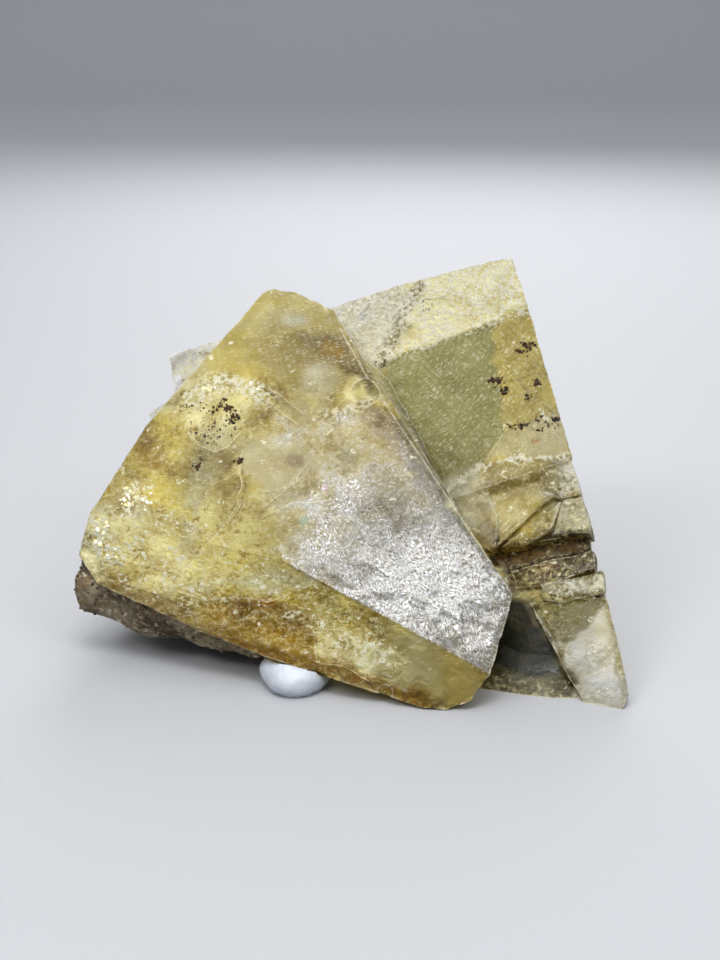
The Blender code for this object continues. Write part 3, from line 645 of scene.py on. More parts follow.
SPECK_SPOTS = (
    (FRONT, 1.0, -36.2, 39.4, 2.4, 0.9, -30.0), (FRONT, 0.62, -37.6, 36.4, 3.8, 2.8),
    (FRONT, 0.5, -33.9, 33.0, 0.8, 2.6),
    (FRONT, 0.62, -41.0, 39.6, 3.0, 1.3), (RIGHT, 0.8, -22.0, 49.3, 2.2, 1.3, 20.0),
    (RIGHT, 0.9, -24.5, 43.4, 1.4, 1.2),
    (RIGHT, 0.8, -20.8, 37.6, 2.6, 1.0, 15.0), (RIGHT, 0.8, -17.0, 38.9, 2.4, 1.4), (RIGHT, 0.6, -18.6, 43.5, 1.4, 2.0),
    (RIGHT, 0.7, -43.3, 44.0, 1.4, 3.0, -20.0), (RIGHT, 0.45, -38.5, 56.0, 1.2, 3.5, 30.0),
)
VEIL_CLUSTERS = (
    (-48.6, 26.0, 2.8, 2.2), (-53.0, 21.0, 1.6, 3.0), (-50.5, 18.2, 2.0, 1.4), (-15.5, 3.6, 2.6, 1.1),
    (-21.0, 4.5, 1.8, 1.5),
)
CLOUD_POWERS = (0.85, 1.0, 1.5)  # a cloud in the stone changes the blue part most


@dataclass
class StoneZones:
    """Measures, at each of the surface's points, what the crystal's finish draws there.

    Args:
        points: the surface's points, in millimetres.
        normals: the way that the surface faces at each.
        facet: each point's facet, as a number from 0 to 1.
        rock: how much each point belongs to the broken rock.
    """

    points: np.ndarray
    normals: np.ndarray
    facet: np.ndarray
    rock: np.ndarray

    def __post_init__(self) -> None:
        """Finds each point's place on the two large faces, and the noise that the zones share."""
        self.on_front = FRONT.local(self.points)
        self.on_right = RIGHT.local(self.points)
        lean_front = self.normals @ FRONT.axes()[:, 2]
        lean_right = self.normals @ RIGHT.axes()[:, 2]
        on_steps = eased(outline_depth(self.on_right[:, :2], LOWER_STEPS), -1.0, 1.0)
        before_right = eased(self.on_right[:, 2], *BEFORE_RIGHT)
        self.front = before_right * eased(self.on_front[:, 2], *BEHIND_FACE) * eased(lean_front, 0.3, 0.6)
        self.right = (1.0 - self.front) * eased(self.on_right[:, 2], *BEHIND_FACE)
        self.right *= eased(lean_right + 0.7 * on_steps, 0.2, 0.6)
        self.right *= 1.0 - before_right
        self.broad = StoneNoise.fractal(self.points, 5.0, 4, seed=41)
        self.coarse = StoneNoise.fractal(self.points, 8.0, 2, seed=48)
        self.middle = StoneNoise.fractal(self.points, 2.4, 3, seed=46)

    def held(self, face: CrystalFace) -> np.ndarray:
        """How much each point belongs to a face."""
        return self.front if face is FRONT else self.right

    def flat(self, face: CrystalFace) -> np.ndarray:
        """Each point's right and up on a face."""
        return (self.on_front if face is FRONT else self.on_right)[:, :2]

    def share(self, face: CrystalFace, outline: Outline, soft: float, warp: float = 0.0) -> np.ndarray:
        """How much of each point lies inside an outline on a face, from 0 to 1."""
        places = self.flat(face) + warp * np.stack([self.middle, self.broad], axis=1) * 1.3
        return eased(outline_depth(places, outline), -soft / 2, soft / 2) * self.held(face)

    def near(self, face: CrystalFace, line: Outline, reach: float, ragged: float = 0.6) -> np.ndarray:
        """How close each point lies to a line on a face, with a ragged border."""
        away = line_distance(self.flat(face), line) + self.middle * ragged * reach
        return eased(away, reach, reach * 0.15) * self.held(face)

    @staticmethod
    def tinted(color: np.ndarray, share: np.ndarray, tint: Tint) -> np.ndarray:
        """A colour at each point with another laid over a share of it."""
        return color * (1.0 - share)[:, None] + np.array(tint.value) * share[:, None]

    def glow(self) -> np.ndarray:
        """How much brighter than its zone's own colour each point is."""
        left = self.share(FRONT, path(-58, 28, -46, 28, -36, 22, -28, 15, -24, 8, -40, 8, -58, 14), 5.0, 2.0)
        crack = self.share(FRONT, path(-40, 28, -33.5, 30, -28.5, 25, -28, 17, -33, 14, -42, 15), 4.0, 1.5)
        steps = self.share(RIGHT, path(-14.5, 34, -6, 26, -4, 14, -13, 13, -17, 20, -16, 27), 2.0)
        return 1.0 + 0.42 * left + 0.22 * crack - 0.28 * steps

    def cloud_and_crack_shade(self) -> np.ndarray:
        """How light or dark each point is: the stone's own cloudy tone, with painted highlight on one side of each
        bright crack and painted shade on the other.
        """
        cloud = 0.26 * self.broad + (0.50 - 0.36 * self.calm()) * self.middle
        # painted highlight and painted shade on the two sides of the bright cracks
        signed, _ = self.side_of(False)
        cloud += 0.20 * np.sign(signed) * np.exp(-((signed / 0.45) ** 2))
        return np.clip(1.0 + cloud, 0.35, 1.7)

    def tint(self) -> np.ndarray:
        """The stone's colour at each point."""
        color = self.tinted(np.array(Tint.GOLD.value), eased(self.broad, -0.45, 0.5), Tint.PALE)
        color *= (0.82 + 0.36 * self.facet)[:, None]
        for patch in PATCHES:
            share = self.share(patch.face, patch.outline, patch.soft, patch.warp) * patch.strength
            color = self.tinted(color, share, patch.tint)
        color = color * self.glow()[:, None]
        # flank: painted shade on the front crystal's right side face
        flank = eased(outline_depth(self.flat(FRONT), path(-19, 44, -9, 42, 8, 14, 6, 2, 2, 2, -14, 34)), 0.0, 1.0)
        flank = flank * (1.0 - self.front) * eased(self.on_right[:, 2], 0.3, 1.2)
        flank = flank * eased(self.on_front[:, 2], -8.0, -6.5) * (0.55 + 0.3 * self.middle)
        color = self.tinted(color, flank, Tint.STEEL_SHADE)
        behind = (1.0 - self.front - self.right) * (1.0 - self.rock) * eased(self.points[:, 2], 12.0, 22.0)
        color = self.tinted(color, behind * (0.20 + 0.55 * self.facet), Tint.SILVER)
        color = self.tinted(color, 0.85 * behind * eased(self.points[:, 0], -10.0, -16.0), Tint.FROST)
        return color * self.cloud_and_crack_shade()[:, None] ** np.array(CLOUD_POWERS)

    def calm(self) -> np.ndarray:
        """How even and glassy the stone looks at each point."""
        zones = (
            (FRONT, path(-41, 46, -31, 45.5, -25.5, 41.5, -14, 41.5, -18, 62, -34, 63), 0.8),
            (RIGHT, GREEN_SQUARE, 0.9), (RIGHT, HONEY_EDGE, 0.6), (RIGHT, PALE_EDGE, 0.5),
            (FRONT, GREY_OVAL, 0.7), (RIGHT, path(-31, 31, -15, 33, -14, 27, -20.7, 19.2, -26, 18), 0.5),
            (FRONT, FOOT, 0.7), (RIGHT, DARK_HOLLOW, 0.9), (RIGHT, BAND, 0.55), (RIGHT, FAR_CUBES, 0.8),
            (RIGHT, path(-11, 13.5, -4.6, 15.2, 1, 1.5, -1, -1, -6.5, 0, -9, 8), 0.65),
        )
        return np.clip(sum(strength * self.share(face, outline, 3.0) for face, outline, strength in zones), 0.0, 0.9)

    def gathered(self, spots: Sequence[tuple], soft: float, warp: float) -> np.ndarray:
        """How much of each point lies in any of some ragged ovals, each a face, a strength and the oval's measures."""
        found = [strength * self.share(face, blot(*oval), soft, warp) for face, strength, *oval in spots]
        return np.maximum.reduce(found)

    def minerals(self) -> np.ndarray:
        """Where dark mineral crumbs sit."""
        return self.gathered(MINERAL_SPOTS, 0.4, 0.25)

    def plates(self) -> np.ndarray:
        """Where small bright cleavage plates sit."""
        return self.gathered(PLATE_SPOTS, 0.9, 0.25)

    def specks(self) -> np.ndarray:
        """How many dark mineral specks lie at each point."""
        return np.clip(self.gathered(SPECK_SPOTS, 1.6, 0.5) + 0.08, 0.0, 1.0)

    def crevice(self) -> np.ndarray:
        """Where dirt with painted shade lies in the gaps between the crystals' steps, and over the rock."""
        dirt = self.share(RIGHT, path(-22, 21, -6, 25.5, -5, 21, -21.5, 15.5), 1.5, 0.6)
        low = self.share(RIGHT, path(-22, 15, -14, 13.5, -9, 5, -20, 2), 1.5)
        return np.clip(np.maximum(dirt, 0.7 * low) + self.rock, 0.0, 1.0)

    def toward_foot(self, highest: float) -> np.ndarray:
        """0 on the front face's upper part and 1 on its lower right, from a height where that starts."""
        return eased(self.on_front[:, 1] - 0.4 * self.on_front[:, 0], 30.0, highest)

    def etched_sheen(self) -> np.ndarray:
        """How much of the etched skin, with its painted sheen, lies on each point."""
        lower = self.toward_foot(18.0)
        sheen = self.share(FRONT, SILVER_FACET, 5.0, 2.0) * (1.0 - lower) + self.share(FRONT, SILVER_FACET, 0.7) * lower
        # the painted sheen grows toward the front face's lower right, where the lamp's highlight falls, and fades up
        # and to the left
        sheen = sheen * (0.62 + 0.38 * lower) * (1.0 + 0.25 * self.middle)
        haze = (0.42 + 0.35 * self.middle) * self.share(FRONT, HAZE, 5.0, 2.0)
        band = (0.40 + 0.5 * self.middle) * self.share(RIGHT, SILVER_BAND, 4.0, 1.5)
        cubes = 0.35 * self.share(RIGHT, FAR_CUBES, 2.0)
        others = 0.6 * eased(self.facet, 0.72, 0.9) * (1.0 - self.front - self.right) * eased(self.broad, -0.3, 0.4)
        return np.clip(np.maximum.reduce((sheen, haze, band, cubes, others)), 0.0, 1.0)

    def gloss_and_painted_sheen(self) -> np.ndarray:
        """How strongly the etched skin shines at each point: the strength of its coat and of its painted sheen, with a
        painted highlight in an oval low on the front face.
        """
        # bright is a painted highlight; dull and left lower and raise the painted sheen in their zones
        bright = self.share(FRONT, blot(-11.0, 12.5, 8.0, 4.2, 28.0), 6.0, 1.5)
        dull = self.share(FRONT, path(-22, 24, -12, 27, -5, 19, -10, 16, -19, 19), 4.0, 2.0)
        left = self.share(FRONT, path(-29, 16, -24.5, 23, -18.5, 29, -15.5, 24, -19, 17, -22, 13), 3.0, 1.0)
        glow = 0.88 + 0.14 * self.toward_foot(14.0) + 0.40 * left + 0.22 * bright - 0.30 * dull
        glow = glow + 0.35 * self.coarse + 0.2 * self.middle
        return np.clip(glow * self.front + (1.0 - self.front) * 0.8, 0.05, 1.2)

    def frost(self) -> np.ndarray:
        """How much bright sugary crust lies on each point."""
        lines = (
            (0.9, FRONT, CREASE, 2.2), (0.6, FRONT, CREASE_RIGHT, 1.3), (1.0, RIGHT, RIDGE_LINE, 0.95),
            (0.8, RIGHT, GREEN_RIDGE, 0.8), (0.95, RIGHT, path(-40, 60, -30, 58, -23.5, 57.5), 4.0, 0.3),
            (0.8, RIGHT, BAND[2:7], 1.1), (0.6, RIGHT, path(-13, 27.5, -12.2, 31, -13, 33.3), 1.2),
            (0.7, FRONT, path(-54.5, 23, -53.3, 19, -50.5, 17.5), 1.3),
        )
        flecks = (
            (0.85, BAND, 1.5, 0.8, -0.9, 0.1), (0.9, SILVER_BAND, 3.0, 1.2, -0.45, 0.25),
            (0.6, path(-13.9, 15, -5.4, 18.4, -4.4, 15.6, -11, 13.2), 0.8, 0.5, -0.3, 0.4),
            (0.6, path(-8, 7, -2, 8, 0.6, 2, -5.6, -1), 1.5, 1.0, -0.4, 0.4), (1.0, FAR_CUBES, 2.0, 0.0, -1.0, -0.2),
        )
        parts = [strength * self.near(*line) for strength, *line in lines]
        for strength, outline, soft, warp, low, high in flecks:
            bare = 1.0 - self.share(RIGHT, STREAK, 1.5, 1.0) if outline is SILVER_BAND else 1.0
            parts.append(strength * self.share(RIGHT, outline, soft, warp) * bare * eased(self.middle, low, high))
        return np.clip(np.maximum.reduce(parts), 0.0, 1.0)

    def hair(self) -> np.ndarray:
        """How many fine hair-like glints lie at each point."""
        lined = self.share(RIGHT, GREEN_SQUARE, 2.0) + self.share(RIGHT, HONEY_EDGE, 2.0) * 0.7
        lined = lined + 0.8 * self.share(RIGHT, BAND, 2.0)
        lined = lined + self.share(FRONT, path(-33, 48, -25, 41, -13, 42, -18, 62, -30, 60), 6.0) * 0.8
        still = np.clip(self.share(RIGHT, DARK_HOLLOW, 1.5) + self.share(FRONT, FOOT, 2.0), 0.0, 1.0)
        return np.clip((lined + 0.16 * self.front + 0.25 * self.right) * (1.0 - still), 0.0, 1.0)

    def veil(self) -> np.ndarray:
        """How many inner flakes and veils show at each point."""
        left = self.share(FRONT, path(-60, 33, -46, 28, -36, 20, -28, 15.5, -2, -1.5, -60, -8), 4.0, 2.0)
        left *= 1.0 - 0.6 * self.share(FRONT, path(-40, 11, -24, 9, -23, 3, -36, 3), 2.5, 1.0)
        clusters = sum(self.share(FRONT, blot(*oval), 1.5, 1.0) for oval in VEIL_CLUSTERS)
        folds = 0.9 * self.share(RIGHT, BAND, 2.0, 0.8) + 0.5 * self.share(RIGHT, LOWER_STEPS, 2.0, 0.8)
        still = self.share(RIGHT, DARK_HOLLOW, 1.5) + self.share(FRONT, FOOT, 2.0)
        still = np.clip(still + self.share(RIGHT, GREEN_SQUARE, 1.0), 0.0, 0.9)
        still = np.maximum(still, 0.8 * self.near(FRONT, HEM, 2.4, 0.3))
        return np.clip((0.8 * left + 1.3 * clusters + folds + 0.30) * (1.0 - still), 0.0, 2.2)

    def stain(self) -> np.ndarray:
        """How much iron stain lies at each point."""
        low = self.near(FRONT, path(-54, 14, -46, 10.5, -33, 5, -20, 1, -8, -3.6), 2.8, 0.5)
        low *= 0.45 + 0.75 * eased(self.middle, -0.3, 0.2)
        crevice = self.near(RIGHT, path(-21, 18.5, -14.5, 20.7, -7.5, 23), 1.2)
        patchy = 0.35 * eased(self.middle, -0.1, 0.45) * (1.0 - self.front) * eased(self.broad, 0.1, 0.6)
        return np.clip(low + crevice + patchy, 0.0, 1.0)

    def side_of(self, dark: bool) -> tuple[np.ndarray, np.ndarray]:
        """Cracks that are all dark or all bright.

        Args:
            dark: which of the two.

        Returns:
            How far each point lies from the nearest, below zero on its one side, and 1 close to it.
        """
        nearest = np.full(len(self.points), FAR)
        signed = np.full(len(self.points), FAR)
        for vein in VEINS:
            if vein.dark is not dark:
                continue
            places = self.flat(vein.face) + 0.3 * np.stack([self.middle, self.broad], axis=1)
            corners = np.array(vein.line, float)
            for start, end in zip(corners[:-1], corners[1:]):
                along = end - start
                share = np.clip(((places - start) @ along) / (along @ along), 0.0, 1.0)
                away = places - start - share[:, None] * along
                far = np.linalg.norm(away, axis=1) + (self.held(vein.face) < 0.5) * FAR
                side = np.sign(along[0] * away[:, 1] - along[1] * away[:, 0])
                signed = np.where(far < nearest, far * side, signed)
                nearest = np.minimum(nearest, far)
        return np.clip(signed, -4.0, 4.0), eased(nearest, 1.6, 0.9)


# ---------------------------------------------------------------- node trees
@dataclass(frozen=True)
class Wire:
    """A node's output. A sum with it adds the node for that sum.

    Args:
        graph: the graph that it is in.
        socket: the output.
    """

    graph: "Graph"
    socket: bpy.types.NodeSocket

    def __add__(self, other: "Value") -> "Wire":
        """The sum with another."""
        return self.graph.math("ADD", self, other)

    def __sub__(self, other: "Value") -> "Wire":
        """This less another."""
        return self.graph.math("SUBTRACT", self, other)

    def __rsub__(self, other: float) -> "Wire":
        """A number less this."""
        return self.graph.math("SUBTRACT", other, self)

    def __mul__(self, other: "Value") -> "Wire":
        """The product with another."""
        return self.graph.math("MULTIPLY", self, other)

    def __truediv__(self, other: "Value") -> "Wire":
        """This divided by another."""
        return self.graph.math("DIVIDE", self, other)

    def __rtruediv__(self, other: float) -> "Wire":
        """A number divided by this."""
        return self.graph.math("DIVIDE", other, self)

    def __abs__(self) -> "Wire":
        """This without its sign."""
        return self.graph.math("ABSOLUTE", self)


Value = Wire | float | tuple

SOCKET_KINDS = {float: "NodeSocketFloat", tuple: "NodeSocketVector"}
NO_MOVE = (0.0, 0.0, 0.0)


@dataclass
class Graph:
    """Short calls for the nodes that the finishes are made of.

    Args:
        tree: the node tree that they go in.
    """

    tree: bpy.types.NodeTree

    def add(self, kind: str, **settings: object) -> bpy.types.Node:
        """A new node with these settings."""
        node = self.tree.nodes.new(kind)
        for name, value in settings.items():
            setattr(node, name, value)
        return node

    def feed(self, socket: bpy.types.NodeSocket, value: Value) -> None:
        """Links an output to a socket, or sets the socket to a plain value."""
        if isinstance(value, Wire):
            self.tree.links.new(value.socket, socket)
        elif isinstance(value, tuple) and socket.type == "RGBA" and len(value) == 3:
            socket.default_value = (*value, 1.0)
        else:
            socket.default_value = value

    def fed(self, node: bpy.types.Node, **values: Value) -> dict[str, Wire]:
        """Sets some of a node's inputs, and gives its outputs by name. An underscore stands for a space."""
        for name, value in values.items():
            self.feed(node.inputs[name.replace("_", " ")], value)
        return {socket.name: Wire(self, socket) for socket in node.outputs}

    def math(self, operation: str, first: Value, second: Value = 0.0, clamp: bool = False) -> Wire:
        """One sum on two values."""
        node = self.add("ShaderNodeMath", operation=operation, use_clamp=clamp)
        self.feed(node.inputs[0], first)
        self.feed(node.inputs[1], second)
        return Wire(self, node.outputs[0])

    def vector(self, operation: str, first: Value, second: Value, output: str = "Vector") -> Wire:
        """One sum on two vectors."""
        node = self.add("ShaderNodeVectorMath", operation=operation)
        self.feed(node.inputs[1], second)
        return self.fed(node, Vector=first)[output]

    def scaled(self, vector: Value, times: Value) -> Wire:
        """A vector times a value."""
        return self.fed(self.add("ShaderNodeVectorMath", operation="SCALE"), Vector=vector, Scale=times)["Vector"]

    def blend(self, share: Value, first: Value, second: Value, how: str = "MIX") -> Wire:
        """Mixes two colours."""
        node = self.add("ShaderNodeMix", data_type="RGBA", blend_type=how)
        for socket, value in ((node.inputs["Factor"], share), (node.inputs[6], first), (node.inputs[7], second)):
            self.feed(socket, value)
        return Wire(self, node.outputs[2])

    def span(self, value: Value, low: Value, high: Value, to_low: Value = 0.0, to_high: Value = 1.0) -> Wire:
        """Maps a range of values to another with eased ends."""
        node = self.add("ShaderNodeMapRange", interpolation_type="SMOOTHSTEP")
        return self.fed(node, Value=value, From_Min=low, From_Max=high, To_Min=to_low, To_Max=to_high)["Result"]

    def noise(self, place: Value, scale: Value, detail: float, rough: float = 0.5, ridged: bool = False) -> Wire:
        """Noise from 0 to about 1 at a place."""
        kind = "RIDGED_MULTIFRACTAL" if ridged else "FBM"
        node = self.add("ShaderNodeTexNoise", noise_type=kind, normalize=True)
        return self.fed(node, Vector=place, Scale=scale, Detail=detail, Roughness=rough)["Fac"]

    def seams(self, place: Value, scale: Value) -> Wire:
        """The distance to the nearest seam between scattered cells."""
        node = self.add("ShaderNodeTexVoronoi", feature="DISTANCE_TO_EDGE")
        return self.fed(node, Vector=place, Scale=scale)["Distance"]

    def cells(self, place: Value, scale: Value) -> tuple[Wire, Wire]:
        """Scattered cells: the distance to the nearest one's middle, and its own random number."""
        found = self.fed(self.add("ShaderNodeTexVoronoi", feature="F1"), Vector=place, Scale=scale)
        return found["Distance"], self.fed(self.add("ShaderNodeSeparateColor"), Color=found["Color"])["Red"]

    def group(self, tree: bpy.types.NodeTree, **values: Value) -> dict[str, Wire]:
        """A node group's outputs, with its inputs set."""
        return self.fed(self.add("ShaderNodeGroup", node_tree=tree), **values)

    def reading(self, name: str, output: str = "Fac") -> Wire:
        """What a surface attribute holds. The output Vector gives all three numbers of a vector."""
        return self.fed(self.add("ShaderNodeAttribute", attribute_type="GEOMETRY", attribute_name=name))[output]


def new_group(
    name: str, inputs: dict[str, float | tuple], outputs: tuple[str, ...]
) -> tuple[Graph, dict[str, Wire], bpy.types.Node]:
    """Starts a shader node group whose outputs are all plain values.

    Args:
        name: the group's name.
        inputs: each input's name and default value.
        outputs: each output's name.

    Returns:
        Its graph, its inputs by name and the node that its outputs go in.
    """
    tree = bpy.data.node_groups.new(name, "ShaderNodeTree")
    for title, value in inputs.items():
        socket = tree.interface.new_socket(title, in_out="INPUT", socket_type=SOCKET_KINDS[type(value)])
        socket.default_value = value
    for title in outputs:
        tree.interface.new_socket(title, in_out="OUTPUT", socket_type="NodeSocketFloat")
    graph = Graph(tree)
    return graph, graph.fed(graph.add("NodeGroupInput")), graph.add("NodeGroupOutput")


def directed(length: float, width: float, last: str) -> dict[str, float | tuple]:
    """The inputs of a pattern that runs one way, the last of them its own."""
    ways = {"Place": NO_MOVE, "Along": (1.0, 0.0, 0.0), "Across": (0.0, 1.0, 0.0)}
    return {**ways, "Length": length, "Width": width, "Sway": 0.0, last: 0.5}


class Patterns:
    """The shader node groups that the finishes share, each built once."""

    def __init__(self) -> None:
        """Builds the groups."""
        self.etching = self.build_etching()
        self.glints = self.build_glints()
        self.specks = self.build_specks()
        self.flakes = self.build_flakes()

    @staticmethod
    def laid_along(graph: Graph, given: dict[str, Wire]) -> Wire:
        """The place counted in lengths along one way and in widths across it."""
        along = graph.vector("DOT_PRODUCT", given["Place"], given["Along"], "Value")
        across = graph.vector("DOT_PRODUCT", given["Place"], given["Across"], "Value") + given["Sway"]
        flat = graph.add("ShaderNodeCombineXYZ")
        return graph.fed(flat, X=along / given["Length"], Y=across / given["Width"])["Vector"]

    @classmethod
    def build_etching(cls) -> bpy.types.NodeTree:
        """Short wavy ridges that run one way, as acid-etched cleavage shows. More Cover widens the crests."""
        graph, given, made = new_group("etched_ridges", directed(0.8, 0.3, "Cover"), ("Height", "Crests", "Troughs"))
        height = graph.noise(cls.laid_along(graph, given), 1.0, 3.0, 0.68)
        edge = 0.60 - given["Cover"] * 0.12
        crests = graph.span(height, edge - 0.03, edge + 0.09)
        graph.fed(made, Height=height, Crests=crests, Troughs=graph.span(height, 0.45, 0.34))
        return graph.tree

    @classmethod
    def build_glints(cls) -> bpy.types.NodeTree:
        """Sparse hair-thin glints that run one way."""
        graph, given, made = new_group("hair_glints", directed(1.1, 0.17, "Amount"), ("Lines",))
        distance, number = graph.cells(cls.laid_along(graph, given), 1.0)
        chosen = graph.math("LESS_THAN", number, given["Amount"])
        graph.fed(made, Lines=chosen * graph.span(distance, 0.50, 0.25))
        return graph.tree

    @staticmethod
    def build_specks() -> bpy.types.NodeTree:
        """Tiny ragged specks, thicker where Amount is higher."""
        inputs = {"Place": NO_MOVE, "Ragged": 0.0, "Spacing": 0.5, "Amount": 0.3}
        graph, given, made = new_group("mineral_specks", inputs, ("Mask",))
        distance, number = graph.cells(given["Place"], 1.0 / given["Spacing"])
        size = (given["Amount"] - number) * 0.8 + given["Ragged"]
        graph.fed(made, Mask=graph.span(size - distance, -0.05, 0.06))
        return graph.tree

    @staticmethod
    def build_flakes() -> bpy.types.NodeTree:
        """Crumpled inner veils: thin bright wisps, small angular plates, and larger facets of differing tone."""
        inputs = {"Place": NO_MOVE, "Warp": NO_MOVE, "Grain": 0.5, "Size": 1.4, "Amount": 0.5}
        graph, given, made = new_group("inner_flakes", inputs, ("Wisps", "Plates", "Facets"))
        moved = graph.vector("ADD", given["Place"], given["Warp"])
        stretched = graph.vector("MULTIPLY", moved, (0.75, 1.0, 1.35))
        scale = 1.0 / given["Size"]
        folds = abs(graph.noise(stretched, scale * 0.85, 3.0, 0.62) - 0.5)
        _, tone = graph.cells(stretched, scale * 0.62)
        border = graph.span(graph.seams(stretched, scale * 0.62), 0.035, 0.008) * graph.span(tone, 0.55, 0.60)
        lines = graph.span(folds, 0.020, 0.004) * graph.span(tone, 0.45, 0.25, 0.0, 0.6) + border
        lines += graph.span(folds, 0.10, 0.0, 0.0, 0.22)
        _, number = graph.cells(stretched, scale * 2.1)
        chosen = graph.math("LESS_THAN", number, given["Amount"] * given["Amount"] * 0.11)
        graph.fed(
            made, Wisps=graph.math("MULTIPLY", lines, given["Amount"], clamp=True),
            Plates=chosen * graph.span(given["Grain"], 0.47, 0.55), Facets=tone,
        )
        return graph.tree


def new_material(name: str) -> tuple[bpy.types.Material, Graph, bpy.types.Node]:
    """A new material, its graph and its surface node."""
    material = bpy.data.materials.new(name)
    material.use_nodes = True
    return material, Graph(material.node_tree), material.node_tree.nodes["Principled BSDF"]


def stone_place(graph: Graph) -> Wire:
    """The place on the piece, in millimetres."""
    return graph.scaled(graph.fed(graph.add("ShaderNodeTexCoord"))["Object"], 1.0 / MM)


def raised(graph: Graph, surface: bpy.types.Node, height: Wire) -> None:
    """Lets a height in millimetres tilt a surface's normals."""
    bump = graph.fed(graph.add("ShaderNodeBump"), Strength=1.0, Distance=MM, Height=height)
    graph.fed(surface, Normal=bump["Normal"])


# The colours that the finishes lay over the stone's own, and those of the rock, the putty and the studio.
DEEP_SHADE = (0.55, 0.42, 0.14)
PALE_FACET = (0.93, 0.84, 0.44)
WISP_GLINT = (1.0, 0.93, 0.56)
INNER_PLATE_GLINT = (1.0, 0.97, 0.72)
IRON_STAIN = (0.21, 0.10, 0.014)
ETCHED_SKIN = (0.23, 0.22, 0.195)
# painted shade in the etched skin's troughs
ETCHED_TROUGH_SHADE = (0.10, 0.088, 0.062)
# painted sheen on the etched skin's crests
ETCHED_CREST_SHEEN = (0.93, 0.95, 1.0)
CRUST = (1.0, 0.98, 0.84)
# painted shade in the scored lines' troughs, and then painted highlight on their crests
SCORED_SHADE = (0.70, 0.65, 0.50)
SCORED_HIGHLIGHT = (0.93, 0.92, 0.72)
GLINT = (0.98, 0.97, 0.78)
BRIGHT_CRACK = (1.0, 0.95, 0.60)
# dark crack lines, some of them painted shadow beside a bright crack
DARK_CRACK_AND_SHADOW = (0.10, 0.06, 0.02)
SPECK = (0.035, 0.02, 0.01)
WORN_RIM_AND_HIGHLIGHT = (1.0, 0.96, 0.80)
GAP_DIRT_AND_SHADE = (0.04, 0.025, 0.012)
ROCK_SHADE = (0.075, 0.056, 0.032)
ROCK_PALE = (0.27, 0.222, 0.14)
ROCK_GRAIN = (0.34, 0.29, 0.21)
ROCK_RUST = (0.20, 0.115, 0.040)
ROCK_CRACK = (0.016, 0.011, 0.008)
ROCK_SPECK = (0.02, 0.014, 0.009)
ROCK_CRYSTAL = (0.60, 0.55, 0.43)
# the putty's two colours are darkened as painted shadow, for the shade where the pad sits under the stone
PUTTY_SHADE = (0.48, 0.51, 0.56)
PUTTY_PALE_SHADED = (0.60, 0.63, 0.68)
FLOOR_GREY = (0.40, 0.405, 0.42)
SKY = (0.80, 0.84, 0.90)

ETCH_WAY = -58.0  # the way that the etched ridges run on the front face, in degrees from its right axis
FRONT_STROKES, RIGHT_STROKES = 14.0, 52.0  # the ways that the scored lines run on the two faces


def face_way(face: CrystalFace, degrees: float) -> tuple[float, float, float]:
    """A direction on a crystal face, turned anticlockwise from its right axis."""
    angle = math.radians(degrees)
    return tuple(float(part) for part in face.axes() @ np.array((math.cos(angle), math.sin(angle), 0.0)))


class StoneReadings:
    """What the crystal's finish reads from the surface, and the noise that all its layers share.

    Args:
        graph: the finish's graph.
    """

    def __init__(self, graph: Graph) -> None:
        """Adds the nodes."""
        self.place = stone_place(graph)
        for name in (
            "etched_sheen", "frost", "hair", "sway", "calm", "veil", "stain", "gloss_and_painted_sheen", "bright_mm", "bright_near",
            "dark_mm", "dark_near", "specks", "rim", "gap", "crevice",
        ):
            setattr(self, name, graph.reading(name))
        for name in ("warp", "way", "across", "tint"):
            setattr(self, name, graph.reading(name, "Vector"))
        self.lively = 1.0 - self.calm
        self.grain = graph.noise(self.place, 1.5, 3.0, 0.62)
        self.ragged = (self.grain - 0.5) * 0.9


